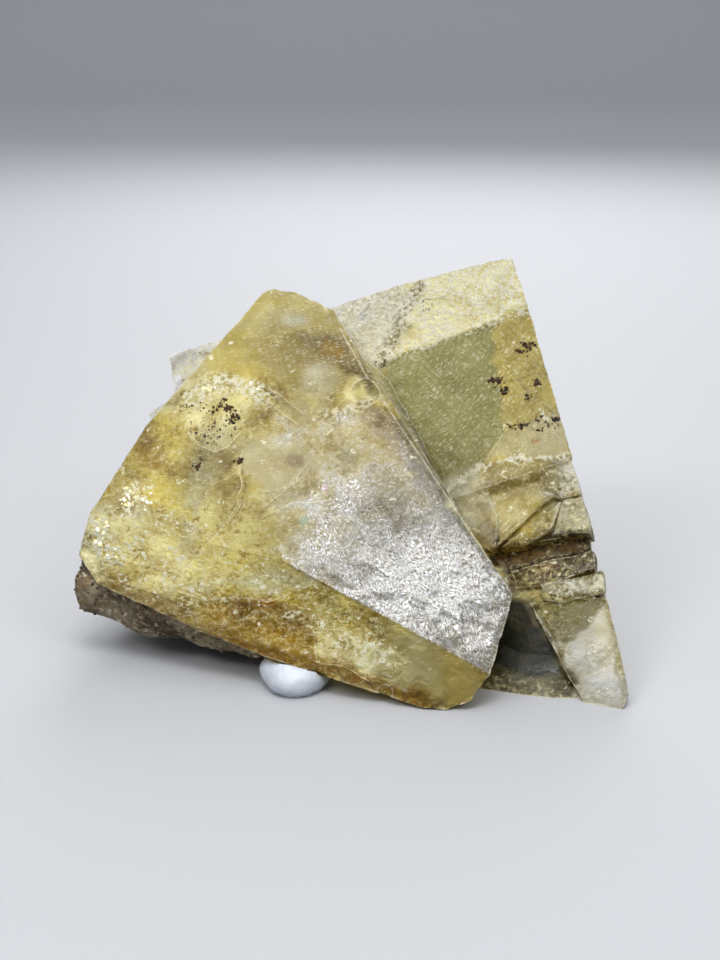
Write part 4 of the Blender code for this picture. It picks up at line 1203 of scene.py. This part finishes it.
@dataclass(frozen=True)
class FluoriteFinish:
    """Translucent crystal with etched skins, inner flakes, stains and specks.

    Args:
        name: the material's name.
        clarity: its transmission weight.
        absorption: the colour that passes through it.
        density: how fast the rest is absorbed, for each metre.
    """

    name: str = "fluorite"
    clarity: float = 0.5
    absorption: tuple[float, float, float] = (0.94, 0.86, 0.22)
    density: float = 70.0

    @staticmethod
    def inner_color(graph: Graph, read: StoneReadings, patterns: Patterns) -> tuple[Wire, Wire]:
        """The stone's zones with its veils, flakes and stain. The stain's share comes second."""
        flakes = graph.group(
            patterns.flakes, Place=read.place, Warp=read.warp, Grain=read.grain, Amount=read.veil
        )
        tone = ((flakes["Facets"] - 0.5) * 0.60 + (read.grain - 0.5) * 2.4) * read.lively
        deep = graph.blend(1.0, read.tint, DEEP_SHADE, "MULTIPLY")
        color = graph.blend(graph.span(tone, -0.08, -0.75), read.tint, deep)
        color = graph.blend(graph.span(tone, 0.05, 0.75, 0.0, 0.6), color, PALE_FACET)
        # inner veils: whitish wisps and plates, with painted glints off their cracks
        wisps = flakes["Wisps"] * graph.span(read.grain, 0.35, 0.55, 0.3, 1.0)
        color = graph.blend(wisps * 0.85, color, WISP_GLINT)
        color = graph.blend(flakes["Plates"], color, INNER_PLATE_GLINT)
        stain = read.stain * graph.span(read.grain, 0.36, 0.56)
        return graph.blend(stain * 0.85, color, IRON_STAIN), stain

    @staticmethod
    def skinned(graph: Graph, read: StoneReadings, color: Wire, etch: dict[str, Wire]) -> Wire:
        """Lays the etched skin over a colour, with painted shade in its troughs and painted sheen on its crests, and
        then the sugary crust.
        """
        color = graph.blend(graph.span(read.etched_sheen, 0.30, 0.90, 0.0, 0.74), color, ETCHED_SKIN)
        # painted shade in the etched troughs
        color = graph.blend(etch["Troughs"] * (read.etched_sheen * 0.70), color, ETCHED_TROUGH_SHADE)
        # painted sheen streaks on the etched crests
        crest_sheen = etch["Crests"] * graph.span(read.etched_sheen, 0.08, 0.75)
        crest_sheen = crest_sheen * graph.span(read.grain, 0.38, 0.60, 0.20, 0.9) * read.gloss_and_painted_sheen
        color = graph.blend(crest_sheen, color, ETCHED_CREST_SHEEN)
        crust = graph.math("MULTIPLY", read.frost, graph.span(read.grain, 0.44, 0.56), clamp=True)
        return graph.blend(crust, color, CRUST)

    @staticmethod
    def scratched(
        graph: Graph, read: StoneReadings, patterns: Patterns, color: Wire, scored: dict[str, Wire], strokes: Wire
    ) -> Wire:
        """Lays fine scored lines, with painted shade in their troughs and painted highlight on their crests, and
        hair-thin glints over a colour.
        """
        darker = graph.blend(1.0, color, SCORED_SHADE, "MULTIPLY")
        color = graph.blend(scored["Troughs"] * (strokes * 0.7), color, darker)
        color = graph.blend(scored["Crests"] * (strokes * 0.28), color, SCORED_HIGHLIGHT)
        glints = graph.group(
            patterns.glints, Place=read.place, Along=read.way, Across=read.across, Sway=read.sway * 0.5,
            Amount=read.hair * 0.34, Width=0.11, Length=0.85,
        )
        return graph.blend(glints["Lines"] * 0.62, color, GLINT)

    @staticmethod
    def cracked(graph: Graph, read: StoneReadings, color: Wire) -> Wire:
        """Draws the bright cracks and the dark lines over a colour; some dark lines are painted shadow beside a bright
        crack.
        """
        bright = graph.span(abs(read.bright_mm) + read.ragged * 0.5, 0.12, 0.03) * read.bright_near
        bright *= graph.span(read.grain, 0.40, 0.60, 0.25, 1.0)
        color = graph.blend(bright, color, BRIGHT_CRACK)
        dark = graph.span(abs(read.dark_mm) + read.ragged * 0.6, 0.16, 0.04) * read.dark_near
        return graph.blend(dark * 0.45, color, DARK_CRACK_AND_SHADOW)

    def build(self, patterns: Patterns) -> bpy.types.Material:
        """Makes the material."""
        material, graph, surface = new_material(self.name)
        read = StoneReadings(graph)
        color, stain = self.inner_color(graph, read, patterns)
        etch = graph.group(
            patterns.etching, Place=read.place, Along=face_way(FRONT, ETCH_WAY),
            Across=face_way(FRONT, ETCH_WAY + 90.0), Sway=read.sway, Cover=read.etched_sheen, Length=0.46, Width=0.15,
        )
        color = self.skinned(graph, read, color, etch)
        scored = graph.group(
            patterns.etching, Place=read.place, Along=read.way, Across=read.across, Sway=read.sway, Cover=0.3,
            Length=0.60, Width=0.20,
        )
        strokes = graph.span(read.hair, 0.1, 0.8) * (1.0 - read.etched_sheen)
        color = self.cracked(graph, read, self.scratched(graph, read, patterns, color, scored, strokes))

        specks = graph.group(patterns.specks, Place=read.place, Ragged=read.ragged, Spacing=0.42, Amount=read.specks)
        color = graph.blend(specks["Mask"] * 0.94, color, SPECK)
        # pale rims along outward edges: wear with a painted highlight
        rim = graph.span(read.rim + read.ragged, 0.24, 0.06) * (1.0 - stain)
        color = graph.blend(rim * graph.span(read.grain, 0.40, 0.56, 0.15, 0.75), color, WORN_RIM_AND_HIGHLIGHT)
        # dark along inward creases: dirt with painted shade
        gap = graph.span(read.gap + read.ragged * 3.0, 0.45, 0.05) * read.crevice
        color = graph.blend(gap * 0.9, color, GAP_DIRT_AND_SHADE)

        rough = graph.span(read.grain, 0.3, 0.7, 0.10, 0.26) + read.frost * 0.22
        rough = rough + specks["Mask"] * 0.3 + read.crevice * 0.35 + gap * 0.3
        height = etch["Height"] * (read.etched_sheen * 0.22 + 0.02)
        height += read.grain * (read.frost * 0.3 + read.lively * 0.26 + 0.02)
        raised(graph, surface, height + scored["Height"] * (strokes * 0.16))
        coat = read.etched_sheen * read.gloss_and_painted_sheen * 0.6 * graph.span(etch["Height"], 0.40, 0.56, 0.2, 1.0)
        graph.fed(
            surface, Base_Color=color, Roughness=rough, Coat_Weight=coat, Coat_IOR=1.8, Coat_Roughness=0.12,
            Specular_IOR_Level=0.3, Metallic=0.0, Transmission_Weight=self.clarity, IOR=1.434,
        )
        absorbed = graph.fed(graph.add("ShaderNodeVolumeAbsorption"), Color=self.absorption, Density=self.density)
        graph.fed(material.node_tree.nodes["Material Output"], Volume=absorbed["Volume"])
        return material


@dataclass(frozen=True)
class RockFinish:
    """Opaque broken rock: grey brown with pale grains, dark cracks and iron stain."""

    name: str = "broken_rock"

    def build(self, patterns: Patterns) -> bpy.types.Material:
        """Makes the material."""
        material, graph, surface = new_material(self.name)
        place = stone_place(graph)
        broad = graph.noise(place, 0.22, 4.0, 0.6)
        grain = graph.noise(place, 1.3, 4.0, 0.65)
        color = graph.blend(graph.span(broad, 0.38, 0.62), ROCK_SHADE, ROCK_PALE)
        color = graph.blend(graph.span(grain, 0.52, 0.66), color, ROCK_GRAIN)
        rust = graph.span(graph.noise(place, 0.33, 4.0, 0.7), 0.52, 0.62, 0.0, 0.5)
        color = graph.blend(rust, color, ROCK_RUST)
        stretched = graph.vector("MULTIPLY", place, (1.0, 1.0, 2.2))
        cracks = graph.noise(stretched, 0.5, 3.0, 0.55, ridged=True)
        color = graph.blend(graph.span(cracks, 0.72, 0.9, 0.0, 0.9), color, ROCK_CRACK)
        ragged = (grain - 0.5) * 0.9
        specks = graph.group(patterns.specks, Place=place, Ragged=ragged, Spacing=0.8, Amount=0.3)
        color = graph.blend(specks["Mask"], color, ROCK_SPECK)
        pale = graph.group(patterns.flakes, Place=place, Grain=grain, Size=1.8, Amount=0.8)
        color = graph.blend(pale["Plates"] * 0.7, color, ROCK_CRYSTAL)
        graph.fed(surface, Base_Color=color, Roughness=graph.span(grain, 0.3, 0.7, 0.85, 0.5))
        raised(graph, surface, grain * 0.6 + cracks * -0.35)
        return material


@dataclass(frozen=True)
class GrainFinish:
    """Small loose or half-sunk grains of one mineral.

    Args:
        name: the material's name.
        low: its darker colour.
        high: its paler colour.
        roughness: how dull it is.
    """

    name: str
    low: tuple[float, float, float]
    high: tuple[float, float, float]
    roughness: float

    def build(self) -> bpy.types.Material:
        """Makes the material."""
        material, graph, surface = new_material(self.name)
        place = stone_place(graph)
        tone = graph.noise(place, 1.1, 2.0)
        rough = graph.span(tone, 0.3, 0.7, self.roughness * 0.8, self.roughness * 1.2)
        graph.fed(surface, Base_Color=graph.blend(graph.span(tone, 0.40, 0.60), self.low, self.high), Roughness=rough)
        raised(graph, surface, graph.noise(place, 6.0, 2.0) * 0.05)
        return material


@dataclass(frozen=True)
class PuttyFinish:
    """Smooth pale display putty, its colours darkened as painted shadow."""

    name: str = "display_putty"

    def build(self) -> bpy.types.Material:
        """Makes the material."""
        material, graph, surface = new_material(self.name)
        place = stone_place(graph)
        soft = graph.noise(place, 0.35, 3.0)
        color = graph.blend(graph.span(soft, 0.3, 0.7), PUTTY_SHADE, PUTTY_PALE_SHADED)
        graph.fed(
            surface, Base_Color=color, Roughness=graph.span(soft, 0.3, 0.7, 0.34, 0.52), Subsurface_Weight=0.25,
            Subsurface_Radius=(0.002, 0.002, 0.002),
        )
        raised(graph, surface, graph.noise(place, 1.2, 3.0) * 0.12)
        return material


# ---------------------------------------------------------------- the pieces
FACET_FACTORS = (12.99, 78.23, 37.72)  # these three only mix a facet's plane and size into a random number
FACET_SIZE_FACTOR = 3.17
FACET_SPREAD = 43758.5453


def finished(piece: bpy.types.Object, slot: str, *nodes: str) -> None:
    """Puts a piece on the model's one body, with the nodes that it stands for."""
    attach(piece, "root")
    if nodes:
        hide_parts(*nodes)
    LOG.info("%s: %d faces", piece.name, len(piece.data.polygons))


def linked(name: str, mesh: bpy.types.Mesh) -> bpy.types.Object:
    """A new object that holds a mesh, in the scene."""
    piece = bpy.data.objects.new(name, mesh)
    bpy.context.scene.collection.objects.link(piece)
    return piece


@dataclass
class CrystalBody:
    """The intergrown crystals and the rock below them, in one closed skin.

    Args:
        undulation: how far the cleaved faces rise and fall, in millimetres.
        wear: how far the sharp edges are worn back.
        rock_relief: how far the broken rock rises and falls.
        rock_facet: a facet of the rock is smaller than this, in square millimetres.
        outer_crease: an edge that turns outwards by more than this, in degrees, is worn.
        inner_crease: dirt lies along edges that turn inwards by more than this.
        grain_floor: grains thin out between these heights above the floor, in millimetres.
        floor_gap: what doesn't stand on the floor stays this far above it, in millimetres.
        skin: the even skin that the body is made of.
    """

    undulation: float = 0.08
    wear: float = 0.20
    rock_relief: float = 0.45
    rock_facet: float = 6.5
    outer_crease: float = 24.0
    inner_crease: float = 18.0
    grain_floor: tuple[float, float] = (0.9, 1.6)
    floor_gap: float = 0.02
    skin: EvenSkin = field(default_factory=lambda: EvenSkin(fine=0.36, coarse=0.55))

    def rock_share(self, points: np.ndarray) -> np.ndarray:
        """How much each point belongs to the broken rock, whose facets are small."""
        small = (np.array(self.skin.facet_areas) < self.rock_facet).astype(float)
        on_front, on_right = FRONT.local(points), RIGHT.local(points)
        near_right = eased(on_right[:, 2], -8.0, -6.0)
        share = self.skin.point_means(small) * eased(on_front[:, 2], -3.5, -5.5)
        share *= 1.0 - near_right * eased(on_right[:, 0], -34.0, -31.0)
        share *= 1.0 - near_right * eased(on_right[:, 1], 28.0, 31.0)
        return share

    def facet_numbers(self) -> np.ndarray:
        """A random number for each point's facet, from its plane's direction and size."""
        planes = np.round(np.array(self.skin.plane_normals), 2)
        sizes = np.round(np.array(self.skin.facet_areas), 1)
        mixed = np.sin(planes @ np.array(FACET_FACTORS) + sizes * FACET_SIZE_FACTOR) * FACET_SPREAD
        return self.skin.point_means(mixed - np.floor(mixed))

    def relief(self, points: np.ndarray, zones: StoneZones, rim: np.ndarray) -> np.ndarray:
        """How far each point moves out of the solid's own surface, in millimetres."""
        fine = StoneNoise.fractal(points, 1.6, 3, seed=12)
        height = self.undulation * StoneNoise.fractal(points, 7.0, 3, seed=2) + 0.045 * zones.middle
        height += 0.02 * zones.etched_sheen() * StoneNoise.fractal(points, 1.7, 2, seed=8) + 0.18 * zones.frost() * fine
        ledges = zones.broad * 3.5
        stepped = np.floor(ledges) + eased(ledges - np.floor(ledges), 0.3, 0.7)
        below = outline_depth(zones.flat(FRONT), path(-60, 26, -40, 17.5, -27.5, 15.6, 1, -0.8, 1, -8, -60, 0))
        below = zones.front * eased(below, -0.5, 1.5)
        height += 0.13 * (stepped - ledges) * below + 0.10 * fine * below
        broken = 0.14 * fine + 0.14 * zones.middle + 0.35 * StoneNoise.fractal(points, 3.2, 2, seed=71)
        height += broken * zones.share(RIGHT, LOWER_STEPS, 2.0) + 0.34 * fine * zones.near(FRONT, HEM, 2.4, 0.3)
        rocky = StoneNoise.ridged(points, 4.5, 3, seed=15)
        height += zones.rock * self.rock_relief * (0.5 * stepped / 3.5 + 0.5 * rocky + 0.35 * fine - 0.35)
        worn = self.wear * (0.25 + np.clip(fine + 0.3, 0.0, 1.0))
        return height - worn * np.exp(-((rim / 0.5) ** 2))

    def weathered(self, points: np.ndarray, weight: np.ndarray) -> np.ndarray:
        """Rounds the surface off where a weight says, and drops the sharp edges there."""
        creases = self.skin.creases.items()
        self.skin.creases = {pair: angle for pair, angle in creases if weight[pair[0]] + weight[pair[1]] < 1.0}
        return self.skin.smoothed(points, (0.7 * weight)[:, None], 7)

    def fields(self, zones: StoneZones, rim: np.ndarray, gap: np.ndarray) -> dict[str, np.ndarray]:
        """What the finishes and the grains read from each point, by attribute name."""
        points, share, frost = zones.points, zones.rock, zones.frost()
        bright_mm, bright_near = zones.side_of(False)
        dark_mm, dark_near = zones.side_of(True)
        lifted = eased(points[:, 2], *self.grain_floor)
        in_front = zones.front[:, None] > 0.5
        warp = [StoneNoise.fractal(points, 1.7, 3, seed=number) for number in (61, 62, 63)]
        return {
            "tint": zones.tint(), "etched_sheen": zones.etched_sheen() * (1.0 - share), "frost": frost, "hair": zones.hair(),
            "veil": zones.veil(), "stain": np.maximum(zones.stain(), share * 0.8), "specks": zones.specks(),
            "rim": rim, "gap": gap, "sway": 0.9 * StoneNoise.fractal(points, 2.2, 2, seed=19), "calm": zones.calm(),
            "way": np.where(in_front, face_way(FRONT, FRONT_STROKES), face_way(RIGHT, RIGHT_STROKES)),
            "across": np.where(in_front, face_way(FRONT, FRONT_STROKES + 90.0), face_way(RIGHT, RIGHT_STROKES + 90.0)),
            "gloss_and_painted_sheen": zones.gloss_and_painted_sheen(), "crevice": zones.crevice(), "warp": 0.9 * np.stack(warp, axis=1),
            "minerals": zones.minerals() * lifted, "plates": zones.plates() * lifted, "crumbs": frost * lifted,
            "rubble": share * lifted, "bright_mm": bright_mm, "bright_near": bright_near, "dark_mm": dark_mm,
            "dark_near": dark_near,
        }

    def build(self, source: bpy.types.Object, *finishes: bpy.types.Material) -> bpy.types.Object:
        """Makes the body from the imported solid's surface, with the crystal's finish and then the rock's."""
        self.skin.cut(source.data)
        points = np.array(self.skin.points)
        normals = self.skin.facing(points)
        share = self.rock_share(points)
        zones = StoneZones(points, normals, self.facet_numbers(), share)
        rim = self.skin.crease_distance(points, True, self.outer_crease)
        gap = self.skin.crease_distance(points, False, self.inner_crease)
        moved = points + normals * self.relief(points, zones, rim)[:, None]
        moved = self.weathered(moved, np.maximum(0.75 * zones.share(RIGHT, LOWER_STEPS, 2.0), 0.35 * share))
        standing = points[:, 2] < self.floor_gap
        moved[:, 2] = np.where(standing, 0.0, np.maximum(moved[:, 2], self.floor_gap))
        mesh = self.skin.mesh("fluorite_body", moved, self.fields(zones, rim, gap))
        for finish in finishes:
            mesh.materials.append(finish)
        ragged = StoneNoise.fractal(points, 1.2, 3, seed=29)
        shares = (share + 0.25 * ragged)[np.array(self.skin.triangles)].mean(axis=1)
        mesh.polygons.foreach_set("material_index", (shares > 0.5).astype(np.int32))
        return linked("fluorite_body", mesh)


class GrainShape(Enum):
    """What a scattered grain looks like."""

    CHIP = "chip"
    PLATE = "plate"


@dataclass
class GrainScatter:
    """Small grains strewn over the stone where one of its attributes says.

    Args:
        name: the piece's name.
        weight: the attribute that says where they lie.
        shape: what each looks like.
        density: how many lie on a square millimetre where the weight is 1.
        size: their smallest and largest radius, in millimetres.
        ragged: how far their corners are pushed about.
        seed: which scatter.
    """

    name: str
    weight: str
    shape: GrainShape
    density: float
    size: tuple[float, float]
    ragged: float
    seed: int

    def random(self, graph: Graph, number: int, low: Value, high: Value) -> Wire:
        """A random value for each grain, or a random vector where the limits are vectors."""
        vector = isinstance(low, tuple)
        node = graph.add("FunctionNodeRandomValue", data_type="FLOAT_VECTOR" if vector else "FLOAT")
        node.inputs["Seed"].default_value = self.seed + number
        first, output = (0, 0) if vector else (2, 1)
        graph.feed(node.inputs[first], low)
        graph.feed(node.inputs[first + 1], high)
        return Wire(graph, node.outputs[output])

    def grain(self, graph: Graph) -> tuple[Wire, float, float]:
        """One grain's mesh, the least share of its size that a side keeps, and how far it leans, in radians."""
        if self.shape is GrainShape.CHIP:
            return graph.fed(graph.add("GeometryNodeMeshIcoSphere"), Radius=1.0, Subdivisions=1)["Mesh"], 0.55, math.pi
        node = graph.add("GeometryNodeMeshCylinder", fill_type="NGON")
        return graph.fed(node, Vertices=5, Radius=1.0, Depth=0.35)["Mesh"], 0.5, 0.35

    def tree(self, material: bpy.types.Material) -> bpy.types.NodeTree:
        """Builds the Geometry Nodes tree."""
        tree = bpy.data.node_groups.new(self.name + "_tree", "GeometryNodeTree")
        tree.interface.new_socket("Surface", in_out="INPUT", socket_type="NodeSocketGeometry")
        for title in ("Density", "Smallest", "Largest", "Ragged"):
            tree.interface.new_socket(title, in_out="INPUT", socket_type="NodeSocketFloat")
        tree.interface.new_socket("Grains", in_out="OUTPUT", socket_type="NodeSocketGeometry")
        graph = Graph(tree)
        given = graph.fed(graph.add("NodeGroupInput"))
        weight = graph.fed(graph.add("GeometryNodeInputNamedAttribute", data_type="FLOAT"), Name=self.weight)
        strewn = graph.fed(
            graph.add("GeometryNodeDistributePointsOnFaces", distribute_method="RANDOM"), Mesh=given["Surface"],
            Density=given["Density"] * weight["Attribute"], Seed=self.seed,
        )
        grain, least, lean = self.grain(graph)
        size = self.random(graph, 1, given["Smallest"], given["Largest"])
        sides = self.random(graph, 2, (least,) * 3, (1.0,) * 3)
        spin = self.random(graph, 3, (-lean, -lean, -math.pi), (lean, lean, math.pi))
        turned = graph.add("FunctionNodeRotateRotation", rotation_space="LOCAL")
        graph.feed(turned.inputs[0], strewn["Rotation"])
        graph.feed(turned.inputs[1], spin)
        placed = graph.fed(
            graph.add("GeometryNodeInstanceOnPoints"), Points=strewn["Points"], Instance=grain,
            Rotation=Wire(graph, turned.outputs[0]), Scale=graph.scaled(sides, size),
        )
        real = graph.fed(graph.add("GeometryNodeRealizeInstances"), Geometry=placed["Instances"])
        place = graph.fed(graph.add("GeometryNodeInputPosition"))["Position"]
        wild = graph.fed(graph.add("ShaderNodeTexNoise"), Vector=place, Scale=2.2 / MM)["Color"]
        push = graph.scaled(graph.vector("SUBTRACT", wild, (0.5, 0.5, 0.5)), given["Ragged"])
        moved = graph.fed(graph.add("GeometryNodeSetPosition"), Geometry=real["Geometry"], Offset=push)
        shaded = graph.fed(graph.add("GeometryNodeSetShadeSmooth"), Geometry=moved["Geometry"], Shade_Smooth=False)
        dressed = graph.fed(graph.add("GeometryNodeSetMaterial"), Geometry=shaded["Geometry"], Material=material)
        graph.fed(graph.add("NodeGroupOutput"), Grains=dressed["Geometry"])
        return tree

    def build(self, surface: bpy.types.Mesh, material: bpy.types.Material) -> bpy.types.Object:
        """Strews the grains over a surface and keeps them as a plain mesh."""
        carrier = linked(self.name + "_carrier", surface.copy())
        modifier = carrier.modifiers.new(self.name, "NODES")
        modifier.node_group = self.tree(material)
        sizes = (self.density / MM**2, self.size[0] * MM, self.size[1] * MM, self.ragged * MM)
        sockets = [item for item in modifier.node_group.interface.items_tree if item.in_out == "INPUT"]
        for socket, value in zip(sockets[1:], sizes):
            modifier[socket.identifier] = value
        graph = bpy.context.evaluated_depsgraph_get()
        mesh = bpy.data.meshes.new_from_object(carrier.evaluated_get(graph))
        for vertex in mesh.vertices:
            vertex.co.z = max(vertex.co.z, 0.0)
        bpy.data.objects.remove(carrier)
        mesh.name = self.name
        for attribute in [item.name for item in mesh.attributes if not item.is_internal and not item.is_required]:
            mesh.attributes.remove(mesh.attributes[attribute])
        mesh.materials.clear()
        mesh.materials.append(material)
        mesh.polygons.foreach_set("material_index", np.zeros(len(mesh.polygons), np.int32))
        return linked(self.name, mesh)


@dataclass
class PuttyPad:
    """The squashed putty pad under the front crystal.

    Args:
        step: its triangles' side, in millimetres.
        smoothing: how many rounds of smoothing it gets.
        pull: how far each round moves a point to the middle of those round it.
        dents: how deep the dents that fingers left are.
        foot: what is lower than this, in millimetres, stands on the floor.
        floor_gap: what doesn't stays this far above it.
    """

    step: float = 0.4
    smoothing: int = 14
    pull: float = 0.6
    dents: float = 0.16
    foot: float = 0.05
    floor_gap: float = 0.03

    def build(self, source: bpy.types.Object, finish: bpy.types.Material) -> bpy.types.Object:
        """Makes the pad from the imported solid's surface."""
        skin = EvenSkin(fine=self.step, coarse=self.step, crease_angle=60.0)
        skin.cut(source.data)
        start = np.array(skin.points)
        points = skin.smoothed(start, self.pull, self.smoothing)
        depth = self.dents * (0.5 + StoneNoise.fractal(points, 3.2, 2, seed=52))
        points -= skin.facing(points) * depth[:, None]
        points[:, 2] = np.where(start[:, 2] < self.foot, 0.0, np.maximum(points[:, 2], self.floor_gap))
        mesh = skin.mesh("putty_pad_soft", points, {})
        mesh.materials.append(finish)
        return linked("putty_pad_soft", mesh)


@dataclass(frozen=True)
class SoftLight:
    """A rectangular soft light that faces a point.

    Args:
        name: its name.
        place: where its middle is, in metres.
        size: how wide and how tall it is, in metres.
        power: its power, in watts.
        target: the point that it faces.
    """

    name: str
    place: tuple[float, float, float]
    size: tuple[float, float]
    power: float
    target: tuple[float, float, float] = (0.0, 0.0, 0.02)

    def build(self) -> None:
        """Puts the light in the scene."""
        data = bpy.data.lights.new(self.name, "AREA")
        data.shape, data.energy = "RECTANGLE", self.power
        data.size, data.size_y = self.size
        lamp = bpy.data.objects.new(self.name, data)
        lamp.location = self.place
        lamp.rotation_euler = (Vector(self.target) - Vector(self.place)).to_track_quat("-Z", "Y").to_euler()
        bpy.context.scene.collection.objects.link(lamp)


LIGHTS = (
    SoftLight("ceiling_panel", (0.0, 0.15, 1.25), (1.7, 1.9), 11.5, target=(0.0, 0.15, 0.0)),
    SoftLight("key_softbox", (0.0, -0.16, 0.44), (0.17, 0.14), 0.72),
    SoftLight("left_softbox", (-0.26, -0.24, 0.37), (0.20, 0.16), 0.75),
    SoftLight("right_softbox", (0.25, -0.24, 0.34), (0.16, 0.14), 0.34),
    SoftLight("back_softbox", (0.05, 0.42, 0.30), (0.30, 0.25), 1.3),
)


@dataclass
class Studio:
    """The floor, the soft lights and the camera.

    Args:
        camera_place: where the camera is, in metres.
        camera_tilt: how far it is tipped up from facing straight down, in degrees.
        lens: its focal length, in millimetres.
        floor_reach: how far the floor reaches to each side and to the front, in metres.
        sweep_start: where the floor starts to sweep up.
        sweep_radius: the sweep's radius.
        wall_top: how high the wall behind it is.
    """

    camera_place: tuple[float, float, float] = (0.00186, -0.19509, 0.0916)
    camera_tilt: float = 70.0
    lens: float = 52.5
    floor_reach: float = 9.0
    sweep_start: float = 0.9
    sweep_radius: float = 0.5
    wall_top: float = 2.2

    def build(self) -> None:
        """Makes the whole studio."""
        self.floor()
        for light in LIGHTS:
            light.build()
        self.world()
        self.camera()
        view = bpy.context.scene.view_settings
        view.view_transform, view.look, view.exposure = "Standard", "Medium High Contrast", -0.14

    def floor(self) -> None:
        """A plain pale floor that sweeps up far behind."""
        start, radius, reach = self.sweep_start, self.sweep_radius, self.floor_reach
        angles = np.linspace(0.0, math.pi / 2, 13)
        sweep = [(start + radius * math.sin(angle), radius - radius * math.cos(angle)) for angle in angles]
        profile = [(-reach, 0.0), *sweep, (start + radius, self.wall_top)]
        shape = bmesh.new()
        rows = [[shape.verts.new((side, y, z)) for y, z in profile] for side in (-reach, reach)]
        for left, right in zip(zip(rows[0], rows[0][1:]), zip(rows[1], rows[1][1:])):
            shape.faces.new((left[0], right[0], right[1], left[1])).smooth = True
        mesh = bpy.data.meshes.new("floor")
        shape.to_mesh(mesh)
        shape.free()
        material, graph, surface = new_material("pale_floor")
        graph.fed(surface, Base_Color=FLOOR_GREY, Roughness=0.7)
        mesh.materials.append(material)
        linked("floor", mesh)

    def world(self) -> None:
        """Even pale light from all round."""
        world = bpy.data.worlds.new("studio")
        world.use_nodes = True
        Graph(world.node_tree).fed(world.node_tree.nodes["Background"], Color=SKY, Strength=0.42)
        bpy.context.scene.world = world

    def camera(self) -> None:
        """The camera, a little above the stone and in front of it."""
        data = bpy.data.cameras.new("camera")
        data.lens, data.clip_start = self.lens, 0.01
        camera = bpy.data.objects.new("camera", data)
        camera.location = self.camera_place
        camera.rotation_euler = (math.radians(self.camera_tilt), 0.0, 0.0)
        bpy.context.scene.collection.objects.link(camera)
        bpy.context.scene.camera = camera


def corners(box: tuple) -> list[list[float]]:
    """A box's two corners as plain numbers."""
    return [[float(value) for value in corner] for corner in box]


SCATTERS = (
    (GrainScatter("white_crumbs", "crumbs", GrainShape.CHIP, 1.0, (0.05, 0.18), 0.20, 4),
     GrainFinish("white_crystal_crumbs", (0.86, 0.79, 0.50), (1.0, 0.96, 0.80), 0.22)),
    (GrainScatter("cleavage_plates", "plates", GrainShape.PLATE, 2.6, (0.14, 0.50), 0.16, 24),
     GrainFinish("pearly_cleavage_plates", (0.95, 0.86, 0.45), (1.0, 0.98, 0.88), 0.14)),
    (GrainScatter("mineral_grains", "minerals", GrainShape.CHIP, 9.0, (0.12, 0.40), 0.24, 44),
     GrainFinish("dark_mineral_grains", (0.014, 0.009, 0.006), (0.085, 0.036, 0.010), 0.45)),
    (GrainScatter("rock_grains", "rubble", GrainShape.CHIP, 0.45, (0.12, 0.42), 0.30, 64),
     GrainFinish("rock_grains", (0.055, 0.038, 0.022), (0.20, 0.155, 0.10), 0.6)),
)


def main() -> None:
    """Builds the studio and the pieces."""
    logging.basicConfig(level=logging.INFO)
    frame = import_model()
    Studio().build()
    patterns = Patterns()
    fluorite = FluoriteFinish().build(patterns)
    rock = RockFinish().build(patterns)
    body = CrystalBody().build(frame["nodes"]["fluorite_cluster"], fluorite, rock)
    finished(body, "fluorite", "fluorite_cluster")
    for scatter, finish in SCATTERS:
        finished(scatter.build(body.data, finish.build()), "fluorite")
    pad = PuttyPad().build(frame["nodes"]["putty_pad"], PuttyFinish().build())
    finished(pad, "white_putty", "putty_pad")


if __name__ == "__main__":
    main()
